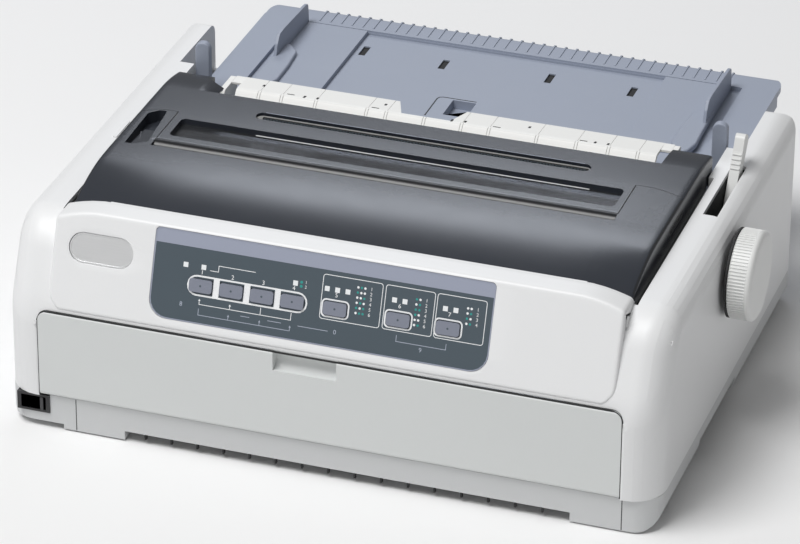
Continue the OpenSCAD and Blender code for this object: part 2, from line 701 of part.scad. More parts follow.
module feed_pinion() {
  color(nylon) in_case() {
    feed_gear(pinion_n, pinion_at, pinion_turn, post_r);
    bar_x(post_r, -gear_x - gear_w, -frame_x + 11, pinion_at);
  }
}
module feed_idler() { color(nylon) in_case() feed_gear(idler_n, idler_at, idler_turn, stud_r + run_gap); }
module roller_idler() {
  color(nylon) in_case() feed_gear(roller_idler_n, roller_idler_at, roller_idler_turn, stud_r + run_gap);
}
bar_half = 146;
bracket_x = [153, 157];
end_roll = [146.8, 152.6];
bar_slits = [-146, -129.5, -113.5, -89.5, -53.5, -40, -13.5, 12.5, 31.5, 64.5, 91.5, 113.5, 133.5];
bar_gap = [-31, 5];
module guide_bar() {
  color(off_white) in_case() {
    difference() {
      along_x(-bar_half, bar_half) outline([[229, 124, 0], [229, 134, 9], [237, 141.5, 3], [256, 140.5, 0],
        [256, 138.5, 0], [238, 139.3, 2], [231, 133, 7], [231, 124, 0]]);
      box([bar_gap[0], 245, 130], [bar_gap[1], 257, 150]);
      for (x = bar_slits) if (abs(x) < bar_half - 4) box([x - 1.2, 242.5, 130], [x + 1.2, 252.5, 150]);
    }
    both_sides() {
      difference() {
        along_x(bracket_x[0], bracket_x[1]) outline([[227.5, 112, 3], [227.5, 136, 4], [234, 140.4, 3],
          [256, 140.4, 2], [256, 112, 3]]);
        bar_x(pull_r + run_gap, bracket_x[0] - 1, bracket_x[1] + 1, pull_at);
      }
      box([bar_half - 2, 246, 138.5], [bracket_x[0] + eps, 256, 140.4]);
      box([bracket_x[1] - eps, 246, 115], [frame_x, 249, 118]);
    }
  }
}
module pull_roller() {
  color(off_white) in_case() {
    bar_x(pull_r, -gear_x - gear_w, frame_out + 1, pull_at);
    bar_x(4.5, -end_roll[0] + 2, end_roll[0] - 2, pull_at);
    both_sides() bar_x(6.2, end_roll[0], end_roll[1], pull_at);
    feed_gear(pull_n, pull_at, pull_turn, pull_r - eps);
  }
}
module paper_chute() {
  r0 = platen_r + 3;
  r1 = r0 + 1.5;
  color(black) in_case() along_x(-frame_x, frame_x) translate(platen_at)
    polygon(concat([for (a = [-150:5:-15]) r1*[cos(a), sin(a)]], [for (a = [-15:-5:-150]) r0*[cos(a), sin(a)]]));
}
tear_y = [184, 192];
tear_z = 129;
tear_pitch = 5;
module tear_bar() {
  n = floor(2*frame_x/tear_pitch);
  color(steel) in_case() translate([0, 0, tear_z]) linear_extrude(1.5) polygon(concat(
    [[frame_x, tear_y[1]], [-frame_x, tear_y[1]], [-frame_x, tear_y[0] + 1.6]],
    [for (i = [0:n - 1]) each [[-frame_x + (i + 0.5)*2*frame_x/n, tear_y[0]],
      [-frame_x + (i + 1)*2*frame_x/n, tear_y[0] + 1.6]]]));
}

// ---- print carriage ----
module carriage_shaft() { color(steel) in_case() bar_x(rod_r, -frame_out - 1, frame_out + 1, rod_at); }
module guide_rail() {
  color(zinc) in_case() along_x(-frame_x, frame_x) polygon([[rail_y - 12, 70], [rail_y, 70], [rail_y + rail_t, 70],
    [rail_y + rail_t, 92], [rail_y, 92], [rail_y, 72], [rail_y - 12, 72]]);
}
lug_half = 8;
module carriage() {
  c = carriage_half;
  color(black) in_case() difference() {
    union() {
      box([-c, belt_y - 8, 70], [c, 130, carriage_top]);
      box([-c + 4, rail_y - 4, 93], [c - 4, belt_y, 97]);
      box([-c + 4, rail_y - 4, 84], [c - 4, rail_y - 0.4, 97]);
      box([-lug_half, 99.5, belt_z - 3], [lug_half, 106, 71]);
      both_sides() box([c - 4, 98, 97], [c, 114, 124]);
    }
    bar_x(rod_r + run_gap, -c - 1, c + 1, rod_at);
    box([-lug_half - 1, belt_y + pulley_r - 0.1, belt_z - 4],
      [lug_half + 1, belt_y + pulley_r + belt_t + 0.1, belt_z + belt_h + 0.1]);
  }
}
module print_head() {
  color(black) in_case() {
    box([-17, 90, carriage_top], [17, 128, 106]);
    translate([0, 109, 105]) cylinder(r=12, h=18);
    for (i = [0:6]) box([-17, 91 + i*5.6, 105], [17, 92.6 + i*5.6, 123.5]);
    along_x(-6, 6) polygon([[127, 99], [nose_tip, 103.5], [nose_tip, 111.5], [127, 115]]);
  }
}
deck_half = 38;
ribbon_knob_at = [20, 88];
module ribbon_cartridge() {
  color(black) in_case() difference() {
    union() {
      translate([0, 0, 124.3]) linear_extrude(11.7) plate2d([-deck_half, 70], [deck_half, 127], 6);
      both_sides() {
        box([deck_half - 5, 120, 103], [deck_half, 137.6, 135]);
        box([deck_half - 5, 137, 103], [deck_half, 139.9, 112]);
      }
      box([-deck_half + 4, nose_tip + 0.15, 103.2], [deck_half - 4, nose_tip + 0.5, 111.8]);
    }
    translate([ribbon_knob_at[0], ribbon_knob_at[1], 128]) cylinder(r=1.5 + run_gap, h=20);
  }
}
module ribbon_knob() {
  color(off_white) in_case() translate([ribbon_knob_at[0], ribbon_knob_at[1], 0]) {
    translate([0, 0, 136.2]) cylinder(r=6, h=4.6);
    translate([0, 0, 128.4]) cylinder(r=1.5, h=8);
  }
}
module space_motor() {
  color(steel) in_case() translate([motor_at[0], motor_at[1], 0]) difference() {
    union() {
      translate([0, 0, deck_z]) cylinder(r=space_r, h=32);
      translate([0, 0, 53]) cylinder(r=7, h=3);
    }
    translate([0, 0, 40]) cylinder(r=post_r + run_gap, h=20);
  }
}
module pulley(bore) {
  difference() {
    union() {
      translate([0, 0, belt_z - 1.2]) cylinder(r=pulley_r - 0.05, h=belt_h + 2.4);
      for (z = [belt_z - 1.2, belt_z + belt_h + 0.1]) translate([0, 0, z]) cylinder(r=pulley_r + 2, h=1.1);
    }
    if (bore > 0) translate([0, 0, belt_z - 2]) cylinder(r=bore, h=belt_h + 4);
  }
}
module drive_pulley() {
  color(nylon) in_case() translate([motor_at[0], motor_at[1], 0]) {
    pulley(0);
    translate([0, 0, 41]) cylinder(r=post_r, h=belt_z - 41);
  }
}
module idler_pulley() {
  color(nylon) in_case() translate([-motor_at[0], motor_at[1], 0]) pulley(post_r + run_gap);
}
module timing_belt() {
  r0 = pulley_r;
  r1 = r0 + belt_t;
  color(rubber_black) in_case() translate([0, belt_y, belt_z]) linear_extrude(belt_h) difference() {
    plate2d([-pulley_x - r1, -r1], [pulley_x + r1, r1], r1 - 0.01, 16);
    plate2d([-pulley_x - r0, -r0], [pulley_x + r0, r0], r0 - 0.01, 16);
  }
}

// ---- paper path behind the platen ----
lever_half = 5;
lever_len = 85.5;
module paper_lever() {
  color(off_white) in_case() difference() {
    union() {
      bar_x(8, lever_x[0], lever_x[1], lever_at);
      translate([0, lever_at[0], lever_at[1]]) rotate([-lever_lean, 0, 0]) along_x(lever_x[0], lever_x[1])
        outline([[-lever_half, 0, 0], [-lever_half, lever_len - 12, 3], [-lever_half - 1, lever_len, 4],
          [lever_half + 1, lever_len, 4], [lever_half, lever_len - 12, 3], [lever_half, 0, 0]]);
    }
    bar_x(stud_r + run_gap, lever_x[0] - 1, lever_x[1] + 1, lever_at);
  }
}
tray_slots = [[-100.5, 367], [-41.8, 365], [33.5, 368.6], [92.7, 367.7]];
lip_from = field_back + 3;
rib_pitch = 8;
rib_x = [-146, 173];
ear_t = 4;
module sheet_tray() {
  z0 = tray_z - tray_t;
  color(tray_blue) in_case() {
    difference() {
      union() {
        translate([0, 0, z0]) linear_extrude(tray_t) outline([[-tray_x, tray_front + 0.5, 0],
          [-tray_x, tray_end - 3, 14], [tray_x, tray_end - 3, 14], [tray_x, tray_front + 0.5, 0]], 5);
        // rolled lip along the back edge
        intersection() {
          along_x(-tray_x + 14, tray_x - 14) outline([[tray_end - 22, z0 - 6, 0], [tray_end - 22, tray_z, 0],
            [tray_end, tray_z - 0.5, 5], [tray_end, z0 - 6, 3]]);
          box([-far, tray_end - 9, 0], [far, tray_end, tray_z]);
        }
        both_sides() {
          box([tray_x - 2.5, tray_front + 0.5, tray_z - skirt_h], [tray_x, tray_end - 18, tray_z - 1]);
          along_x(tray_x - 2.5, tray_x) outline([[tray_hinge[0] - 5, tray_hinge[1] - 5, 4.9],
            [tray_hinge[0] - 5, tray_hinge[1] + 5, 4.9], [tray_front + 4, tray_z - 1, 0],
            [tray_front + 4, tray_z - skirt_h, 0]]);
          // ear with its foot on the tray
          along_x(ear_x + 1.4, ear_x + 1.4 + ear_t) outline([[tray_front - 8, 122, 3], [tray_front - 8, 154, 7],
            [tray_front + 7, 154, 9], [tray_front + 16, 134, 6], [tray_front + 20, z0 + 1, 0],
            [tray_front + 2, z0 + 1, 0], [tray_front - 1, 118, 2]]);
        }
      }
      translate([0, 0, tray_z - field_drop]) linear_extrude(9)
        plate2d([-field_x, tray_front + 22], [field_x, field_back], 3);
      for (s = tray_slots) box([s[0] - 3, s[1] - 2, 0], [s[0] + 3, s[1] + 2, far]);
      box([-20, 295, 0], [-3.5, 318, far]);
      // seam of the small flap
      box([-31.5, 287, tray_z - field_drop - 0.8], [-30.5, 320, far]);
      box([-31.5, 320, tray_z - field_drop - 0.8], [-4, 321, far]);
    }
    both_sides() bar_x(tray_peg_r, tray_x - eps, lip_x + wall - 0.2, tray_hinge);
    for (x = [rib_x[0]:rib_pitch:rib_x[1]]) box([x - 1.1, field_back + 5, tray_z - 0.5], [x + 1.1, tray_end - 5, tray_z + 0.9]);
  }
}
guide_z = tray_z - field_drop + 0.1;
// Sliding paper guide on the +X side, with its fence and its curved front wing
module paper_guide() {
  along_y(290, 395) polygon([[guide_x - 44, guide_z], [guide_x + 2, guide_z], [guide_x + 2, guide_z + 2],
    [guide_x - 40, guide_z + 2]]);
  along_x(guide_x, guide_x + 2) outline([[326, guide_z, 0], [326, 133, 5], [396, 134.5, 4], [396, guide_z, 0]]);
  translate([0, 0, guide_z]) linear_extrude(4) outline([[guide_x - 12, 352, 3], [guide_x - 14, 302, 8],
    [guide_x - 5, 289, 3], [guide_x + 1, 296, 3], [guide_x - 1, 320, 8], [guide_x + 2, 338, 3],
    [guide_x + 2, 352, 0]]);
}
module paper_guide_left() { color(tray_blue) in_case() mirror([1, 0, 0]) paper_guide(); }
module paper_guide_right() { color(tray_blue) in_case() paper_guide(); }
module tractor_shaft() {
  s = tractor_side/2;
  color(steel) in_case() {
    box([-gear_x - gear_w - 1, tractor_at[0] - s, tractor_at[1] - s],
      [frame_out + 1, tractor_at[0] + s, tractor_at[1] + s]);
    feed_gear(tractor_n, tractor_at, tractor_turn, 1);
  }
}
module tractor_rod() { color(steel) in_case() bar_x(tractor_rod_r, -frame_out - 1, frame_out + 1, tractor_rod_at); }
tractor_y = [200, 255];
tractor_top = 84;
tractor_half = 9;
hinge_out = tractor_half + 1.8;
hinge_z = tractor_top + 1.3;
tractor_left_x = -120;
tractor_right_x = 110;
pin_pitch = 12.7;
// Tractor body at the origin of X with its door hinge on the side s
module tractor(s) {
  difference() {
    union() {
      along_x(-tractor_half, tractor_half) outline([[tractor_y[0], 66, 6], [tractor_y[0], tractor_top, 6],
        [tractor_y[1], tractor_top, 6], [tractor_y[1], 66, 6]]);
      for (y = [tractor_y[0] + 7, tractor_y[1] - 10])
        box([s > 0 ? tractor_half - 2 : -hinge_out - 2, y, 72], [s > 0 ? hinge_out + 2 : 2 - tractor_half, y + 3, hinge_z + 2]);
      for (i = [0:2]) translate([0, tractor_y[0] + 15 + i*pin_pitch, tractor_top - 1]) cylinder(r=1, h=2.6);
    }
    bar_x(tractor_bush, -20, 20, tractor_at);
    bar_x(tractor_rod_r + run_gap, -20, 20, tractor_rod_at);
    translate([s*hinge_out, 0, hinge_z]) rotate([-90, 0, 0]) cylinder(r=0.9 + run_gap, h=far);
  }
}
module tractor_door(s) {
  y0 = tractor_y[0] + 10.2;
  y1 = tractor_y[1] - 10.2;
  difference() {
    box([s > 0 ? -tractor_half : -hinge_out, y0, tractor_top + 0.3],
      [s > 0 ? hinge_out : tractor_half, y1, tractor_top + 2.3]);
    box([-2.5, y0 + 2.5, 0], [2.5, y1 - 2.5, far]);
  }
  translate([s*hinge_out, y0, hinge_z]) rotate([-90, 0, 0]) cylinder(r=1.5, h=y1 - y0);
  translate([s*hinge_out, y0 - 2.6, hinge_z]) rotate([-90, 0, 0]) cylinder(r=0.9, h=y1 - y0 + 5.2);
}
module tractor_left() { color(black) in_case() translate([tractor_left_x, 0, 0]) tractor(-1); }
module tractor_right() { color(black) in_case() translate([tractor_right_x, 0, 0]) tractor(1); }
module tractor_door_left() { color(slate) in_case() translate([tractor_left_x, 0, 0]) tractor_door(-1); }
module tractor_door_right() { color(slate) in_case() translate([tractor_right_x, 0, 0]) tractor_door(1); }

// ---- electrics ----
board_z = 27;
module main_board() {
  color(board_green) in_case() {
    box([-160, 206, board_z], [70, 318, board_z + board_t]);
    for (p = [[-150, 215], [60, 215]]) translate([p[0], p[1], deck_z]) cylinder(r=3, h=board_z - deck_z + eps);
    for (p = [[-125, 308], [60, 308]]) translate([p[0], p[1], floor_z + floor_t])
      cylinder(r=3, h=board_z - floor_z - floor_t + eps);
    z = board_z + board_t - eps;
    box([-140, 225, z], [-90, 241, z + 4]);
    box([-70, 225, z], [-30, 241, z + 4]);
    box([-10, 225, z], [30, 241, z + 4]);
    box([-140, 262, z], [-124, 300, z + 12]);
    for (x = [-60:18:12]) translate([x, 270, z]) cylinder(r=5, h=14);
  }
}
module power_supply() {
  color(zinc) in_case() {
    box([90, 206, deck_z], [168, 306, 24]);
    difference() {
      box([90, 206, 23.9], [168, 306, 58]);
      box([92, 208, 24], [166, 304, 56]);
      for (i = [0:8]) box([100, 216 + i*10, 50], [158, 220 + i*10, far]);
    }
  }
}
module power_inlet() {
  w = inlet_w/2 - 0.1;
  color(black) in_case() difference() {
    union() {
      box([inlet_x - w, 308, inlet_z[0] + 0.1], [inlet_x + w, case_d + 0.5, inlet_z[1] - 0.1]);
      box([inlet_x - w - 2, case_d, inlet_z[0] - 1.5], [inlet_x + w + 2, case_d + 1.6, inlet_z[1] + 1.5]);
    }
    along_y(case_d - 15, case_d + 3) outline([[inlet_x - 11.5, inlet_z[0] + 2.5, 0], [inlet_x - 11.5, inlet_z[1] - 6, 0],
      [inlet_x - 7.5, inlet_z[1] - 2.5, 0], [inlet_x + 7.5, inlet_z[1] - 2.5, 0],
      [inlet_x + 11.5, inlet_z[1] - 6, 0], [inlet_x + 11.5, inlet_z[0] + 2.5, 0]]);
  }
  color(steel) in_case() for (p = [[-7, 8], [7, 8], [0, 12.5]])
    box([inlet_x + p[0] - 1, case_d - 15.5, inlet_z[0] + p[1]], [inlet_x + p[0] + 1, case_d - 3, inlet_z[0] + p[1] + 4]);
}
module interface_ports() {
  z = board_z + board_t;
  color(black) in_case() {
    difference() {
      union() {
        box([parallel_x - 31, 306, z], [parallel_x + 31, rear_in, z + 13.9]);
        box([parallel_x - 32, rear_in - 1, port_z + 0.5], [parallel_x + 32, case_d + 1.5, z + 13.9]);
      }
      box([parallel_x - 27, rear_in - 4, port_z + 3], [parallel_x + 27, case_d + 3, z + 11]);
    }
    difference() {
      union() {
        box([usb_x - 5.5, 308, z], [usb_x + 5.5, rear_in, z + 11]);
        box([usb_x - 6, rear_in - 1, port_z + 0.5], [usb_x + 6, case_d + 1, z + 11.5]);
      }
      box([usb_x - 4, rear_in - 6, port_z + 2.5], [usb_x + 4, case_d + 3, z + 9.5]);
    }
  }
}
module case_screws() {
  color(steel) in_case() both_sides() for (y = [boss_at[1], boss_back]) translate([boss_at[0], y, 0]) {
    difference() {
      translate([0, 0, 7]) cylinder(r=4, h=3);
      box([-3, -0.5, 6], [3, 0.5, 8.2]);
      box([-0.5, -3, 6], [0.5, 3, 8.2]);
    }
    translate([0, 0, 9.9]) cylinder(r=screw_r, h=30);
  }
}

base_pan();
rubber_feet();
upper_case();
front_door();
access_cover();
cover_window();
panel_overlay();
panel_board();
key_1();
key_2();
key_3();
key_4();
key_5();
key_6();
key_7();
led_lenses();
badge_plate();
switch_housing();
switch_rocker();
chassis_plate();
side_frame_left();
side_frame_right();
platen_shaft();
platen_roller();
platen_knob();
platen_gear();
platen_bushes();
feed_motor();
feed_pinion();
feed_idler();
roller_idler();
guide_bar();
pull_roller();
carriage_shaft();
guide_rail();
carriage();
print_head();
ribbon_cartridge();
ribbon_knob();
space_motor();
drive_pulley();
idler_pulley();
timing_belt();
paper_chute();
paper_lever();
sheet_tray();
paper_guide_left();
paper_guide_right();
tractor_shaft();
tractor_rod();
tractor_left();
tractor_right();
tractor_door_left();
tractor_door_right();
main_board();
power_supply();
power_inlet();
interface_ports();
case_screws();
tear_bar();
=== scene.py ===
"""Desktop dot matrix printer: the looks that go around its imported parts.

Places are in the casing's own millimetres: X from its middle, Y from the face of the front door,
Z from the table. place() turns them into metres about the origin of the whole printer.
"""

import json
import math

import bmesh
import bpy
from bpy.props import FloatProperty, FloatVectorProperty, IntProperty, PointerProperty
from mathutils import Matrix, Vector

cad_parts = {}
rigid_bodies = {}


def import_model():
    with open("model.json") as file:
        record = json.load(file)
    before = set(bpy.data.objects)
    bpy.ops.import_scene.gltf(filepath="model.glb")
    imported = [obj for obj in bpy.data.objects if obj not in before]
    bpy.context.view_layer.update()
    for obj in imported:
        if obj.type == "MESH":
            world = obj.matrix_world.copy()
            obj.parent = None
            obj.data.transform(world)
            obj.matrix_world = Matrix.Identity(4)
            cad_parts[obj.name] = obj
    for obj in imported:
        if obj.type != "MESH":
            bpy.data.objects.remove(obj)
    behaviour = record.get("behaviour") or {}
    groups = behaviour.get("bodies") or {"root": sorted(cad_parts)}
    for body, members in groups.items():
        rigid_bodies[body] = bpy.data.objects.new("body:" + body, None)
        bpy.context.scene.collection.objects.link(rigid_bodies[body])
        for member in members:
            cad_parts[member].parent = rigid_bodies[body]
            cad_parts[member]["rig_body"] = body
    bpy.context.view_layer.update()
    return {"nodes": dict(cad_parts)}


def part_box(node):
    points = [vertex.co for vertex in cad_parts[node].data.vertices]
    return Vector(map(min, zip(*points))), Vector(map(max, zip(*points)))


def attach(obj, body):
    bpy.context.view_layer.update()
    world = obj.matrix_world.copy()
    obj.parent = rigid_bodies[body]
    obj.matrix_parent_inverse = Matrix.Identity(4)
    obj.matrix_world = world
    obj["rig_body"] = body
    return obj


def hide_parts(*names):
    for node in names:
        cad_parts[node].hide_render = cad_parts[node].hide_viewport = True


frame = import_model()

bl_info = {
    "name": "Dot Matrix Printer",
    "version": (1, 0, 0),
    "blender": (4, 5, 0),
    "location": "View3D > Sidebar > Printer",
    "description": "Builds the finished surfaces of a desktop dot matrix printer around its parts",
    "category": "Object",
}

MM = 0.001

# ---------------------------------------------------------------- places on the printer

case_lo, case_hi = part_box("upper_case")
CASE_X = (case_lo.x + case_hi.x) / 2 / MM
CASE_Y = case_lo.y / MM
HALF_W = (case_hi.x - case_lo.x) / 2 / MM
SIDE_TOP = 141.0
DOOR_HALF = 193.0
DOOR_TOP = 86.0

# the brow's foot as (Y, Z), its lean, and places on its face as (across, up the slope)
BROW_FOOT = (3.5, 92.0)
BROW_LEAN = math.radians(70.65)
PANEL_LO = (-119.0, 2.8)
PANEL_HI = (104.5, 60.0)
BAND_LOW = 50.7
KEY_ROW = 27.0
KEYS = (-86.0, -65.6, -45.2, -25.0, 3.1, 44.5, 76.9)
BADGE = (-154.5, 38.6)
BADGE_SIZE = (43.0, 19.5)

# the cover's edges and hinge, and the edges of what is let into it
COVER_HALF = 185.3
COVER_FRONT = 41.6
COVER_BACK = 228.8
COVER_MID_BACK = 201.0
COVER_TOP = 154.0
# outside this the cover's top rolls down to its sides
SHOULDER_X = 183.2
NOSE = (119.8, 126.0)
COVER_HINGE = (225.0, 137.0)
INSERT_X = (-160.2, 151.6)
GLASS_X = (-154.4, 146.8)
GLASS_Y = (133.2, 158.4)
TEAR_X = (-110.5, 118.0)
TEAR_Y = (174.0, 183.6)
# the rear opening of the cover, between the arms that reach back to its hinge
ARM_LEFT = -149.5
ARM_LEFT_BACK = -158.5
ARM_RIGHT = 158.5

# works and tray; an axis is given as (Y, Z)
KNOB_X = (221.8, 238.4)
PLATEN_AXIS = (158.9, 107.7)
TRAY_TOP = 118.0
GUIDE_X = 152.0
LEVER_AXIS = (198.0, 90.0)
LEVER_LEAN = math.radians(32)
LEVER_X = (197.5, 204.0)


def place(point):
    """Casing millimetres to metres in the printer's own frame."""
    return Vector(((point[0] + CASE_X) * MM, (point[1] + CASE_Y) * MM, point[2] * MM))


def on_brow(x, s, h):
    """Across the brow, up its slope and out of its face, to casing millimetres."""
    c, n = math.cos(BROW_LEAN), math.sin(BROW_LEAN)
    return (x, BROW_FOOT[0] + s * c - h * n, BROW_FOOT[1] + s * n + h * c)


def on_lever(x, u, v):
    """On the paper lever: across, forward of its middle line and up its length from the axle."""
    c, n = math.cos(LEVER_LEAN), math.sin(LEVER_LEAN)
    return (x, LEVER_AXIS[0] + u * c + v * n, LEVER_AXIS[1] - u * n + v * c)


def arc(centre, radius, start, end, steps):
    """Points along an arc, in degrees."""
    turns = [math.radians(start + (end - start) * i / steps) for i in range(steps + 1)]
    return [(centre[0] + radius * math.cos(t), centre[1] + radius * math.sin(t)) for t in turns]


def rounded(corners, steps=5):
    """An outline through (u, v, radius) corners, with each corner turned into an arc."""
    points = []
    for i, (u, v, r) in enumerate(corners):
        b = Vector((u, v))
        a = Vector(corners[i - 1][:2])
        c = Vector(corners[(i + 1) % len(corners)][:2])
        if r <= 0:
            points.append((u, v))
            continue
        to_a, to_c = (a - b).normalized(), (c - b).normalized()
        half = to_a.angle(to_c) / 2
        reach = min(r / math.tan(half), 0.49 * (a - b).length, 0.49 * (c - b).length)
        r = reach * math.tan(half)
        middle = b + (to_a + to_c).normalized() * (r / math.sin(half))
        first = b + to_a * reach - middle
        last = b + to_c * reach - middle
        sweep = first.angle_signed(last)
        for k in range(steps + 1):
            spoke = first.copy()
            spoke.rotate(Matrix.Rotation(-sweep * k / steps, 2))
            points.append(tuple(middle + spoke))
    return points


def plate_outline(lo, hi, r, steps=5):
    """A rounded rectangle."""
    corners = ((lo[0], lo[1]), (hi[0], lo[1]), (hi[0], hi[1]), (lo[0], hi[1]))
    return rounded([(u, v, r) for u, v in corners], steps)


AXIS_ORDER = {
    "x": lambda u, v, w: (w, u, v),
    "y": lambda u, v, w: (u, w, v),
    "z": lambda u, v, w: (u, v, w),
}
# a stroke's corners grow no further than its half width over this
LEAST_MITRE = 0.4


class Form:
    """Faces gathered in casing millimetres. at() may bend them onto the brow or the lever."""

    def __init__(self, at=None):
        self.points = []
        self.faces = []
        self.at = at or (lambda x, y, z: (x, y, z))

    def add(self, points, faces):
        """Adds points and the faces that number them."""
        start = len(self.points)
        self.points += [place(self.at(*p)) for p in points]
        self.faces += [tuple(start + i for i in f) for f in faces]
        return self

    def prism(self, outline, a, b, axis="x"):
        """Extrudes an outline from a to b along an axis."""
        turn = AXIS_ORDER[axis]
        n = len(outline)
        points = [turn(u, v, w) for w in (a, b) for u, v in outline]
        sides = [(i, (i + 1) % n, n + (i + 1) % n, n + i) for i in range(n)]
        return self.add(points, sides + [tuple(range(n)), tuple(range(n, 2 * n))])

    def box(self, lo, hi):
        """A box between two opposite corners."""
        outline = [(lo[0], lo[1]), (hi[0], lo[1]), (hi[0], hi[1]), (lo[0], hi[1])]
        return self.prism(outline, lo[2], hi[2], "z")

    def side_box(self, side, near, far):
        """A box on the left (side -1) or the right (side 1); its X runs out from the middle."""
        a, b = sorted((side * near[0], side * far[0]))
        return self.box((a, *near[1:]), (b, *far[1:]))

    def side_prism(self, side, outline, near, far):
        """An outline extruded along X on one side, from near to far of the middle."""
        return self.prism(outline, *sorted((side * near, side * far)))

    def bar(self, axis_point, radius, a, b, steps=32):
        """A round bar along X."""
        return self.prism(arc(axis_point, radius, 0, 360 - 360 / steps, steps - 1), a, b, "x")

    def stroke(self, points, width, lift=0.06, thick=0.12, closed=False):
        """A thin raised line along points on a face, with mitred corners."""
        line = [Vector(p) for p in points]
        n = len(line)
        left, right = [], []
        for i, p in enumerate(line):
            before = line[i - 1] if (i > 0 or closed) else None
            after = line[(i + 1) % n] if (i < n - 1 or closed) else None
            d_in = (p - before).normalized() if before is not None else (after - p).normalized()
            d_out = (after - p).normalized() if after is not None else d_in
            across_in = Vector((-d_in.y, d_in.x))
            across_out = Vector((-d_out.y, d_out.x))
            miter = (across_in + across_out).normalized()
            reach = width / 2 / max(LEAST_MITRE, miter.dot(across_in))
            left.append(p + miter * reach)
            right.append(p - miter * reach)
        points = [(*p, h) for h in (lift - thick, lift) for side in (left, right) for p in side]
        faces = []
        for i in range(n if closed else n - 1):
            j = (i + 1) % n
            faces += [(2 * n + i, 2 * n + j, 3 * n + j, 3 * n + i), (i, n + i, n + j, j),
                      (i, j, 2 * n + j, 2 * n + i), (n + i, 3 * n + i, 3 * n + j, n + j)]
        if not closed:
            e = n - 1
            faces += [(0, 2 * n, 3 * n, n), (e, n + e, 3 * n + e, 2 * n + e)]
        return self.add(points, faces)

    def mesh(self, name):
        """What was gathered, as a mesh with joined points and outward faces."""
        mesh = bpy.data.meshes.new(name)
        mesh.from_pydata(self.points, [], self.faces)
        work = bmesh.new()
        work.from_mesh(mesh)
        bmesh.ops.remove_doubles(work, verts=work.verts, dist=WELD)
        bmesh.ops.recalc_face_normals(work, faces=work.faces)
        work.to_mesh(mesh)
        work.free()
        return mesh


# points closer than this, in metres, become one point
WELD = 1e-6
CAD_WELD = 2e-6
# CAD faces that turn by less are joined, and faces with more corners are cut into triangles
FLAT_TURN = math.radians(0.4)
MOST_CORNERS = 12
# edges that turn by more, in degrees, are bevelled or shaded as edges
BEVEL_TURN = 38
SMOOTH_TURN = 35
# how strongly broad faces hold the shading flat
FLAT_WEIGHT = 90


def new_object(name, mesh):
    """Puts a mesh or a curve into the scene as an object."""
    piece = bpy.data.objects.new(name, mesh)
    bpy.context.scene.collection.objects.link(piece)
    return piece


def baked(piece):
    """Turns what the piece's modifiers make into its own plain mesh."""
    bpy.context.view_layer.update()
    evaluated = piece.evaluated_get(bpy.context.evaluated_depsgraph_get())
    mesh = bpy.data.meshes.new_from_object(evaluated)
    piece.modifiers.clear()
    piece.data = mesh
    return piece


def soften(piece, width, segments, angle=BEVEL_TURN):
    """Rounds the sharp edges of a piece by a width in millimetres."""
    bevel = piece.modifiers.new("soft_edges", "BEVEL")
    bevel.width = width * MM
    bevel.segments = segments
    bevel.limit_method = "ANGLE"
    bevel.angle_limit = math.radians(angle)
    bevel.use_clamp_overlap = True
    bevel.miter_outer = "MITER_ARC"
    return baked(piece)


def smooth(piece, angle, weighted):
    """Shades a piece smoothly up to an angle; weighted keeps broad flat faces flat."""
    piece.data.shade_smooth()
    piece.data.set_sharp_from_angle(angle=math.radians(angle))
    if weighted:
        steady = piece.modifiers.new("flat_faces", "WEIGHTED_NORMAL")
        steady.mode = "FACE_AREA"
        steady.weight = FLAT_WEIGHT
        steady.keep_sharp = True
        baked(piece)
    return piece


def settle(piece, finish, body, stands_for=(), angle=SMOOTH_TURN, weighted=False):
    """Gives a finished piece its material, its body and the node that it stands for."""
    piece.data.materials.clear()
    piece.data.materials.append(FINISHES[finish])
    smooth(piece, angle, weighted)
    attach(piece, body)
    if stands_for:
        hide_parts(*stands_for)
    return piece


def build(name, form, finish, body, stands_for=(), edge=0.0, segments=2,
          angle=SMOOTH_TURN, cutters=()):
    """Makes a piece of a form less its cutters, with edges softened by edge millimetres."""
    piece = cut(new_object(name, form.mesh(name)), cutters)
    if edge:
        soften(piece, edge, segments)
    return settle(piece, finish, body, stands_for, angle, weighted=bool(edge))


def dressed(node, finish, edge, segments=2, cutters=()):
    """A copy of a CAD node with welded points and softened edges, which stands for that node."""
    source = frame["nodes"][node]
    work = bmesh.new()
    work.from_mesh(source.data)
    bmesh.ops.remove_doubles(work, verts=work.verts, dist=CAD_WELD)
    bmesh.ops.dissolve_limit(work, angle_limit=FLAT_TURN, verts=work.verts, edges=work.edges)
    crowded = [f for f in work.faces if len(f.verts) > MOST_CORNERS]
    bmesh.ops.triangulate(work, faces=crowded, ngon_method="EAR_CLIP")
    plain = bpy.data.meshes.new(node + "_skin")
    work.verts.index_update()
    plain.from_pydata([v.co.copy() for v in work.verts], [],
                      [[v.index for v in f.verts] for f in work.faces])
    work.free()
    piece = cut(new_object(node + "_skin", plain), cutters)
    if edge:
        soften(piece, edge, segments)
    return settle(piece, finish, source["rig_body"], (node,), weighted=True)


def walled(name, shell, thickness):
    """A shell that is open below, thickened inwards by millimetres."""
    piece = new_object(name, shell.mesh(name))
    if sum(p.normal.z * p.area for p in piece.data.polygons) < 0:
        piece.data.flip_normals()
    wall = piece.modifiers.new("wall", "SOLIDIFY")
    wall.thickness = thickness * MM
    wall.offset = -1
    return baked(piece)


def cut(piece, cutters):
    """Takes each cutter's shape out of a piece."""
    for form in cutters:
        tool = new_object("cutter", form.mesh("cutter"))
        boolean = piece.modifiers.new("cut", "BOOLEAN")
        boolean.operation = "DIFFERENCE"
        boolean.solver = "EXACT"
        boolean.object = tool
        baked(piece)
        bpy.data.objects.remove(tool)
    return piece


# ---------------------------------------------------------------- geometry trees for what repeats

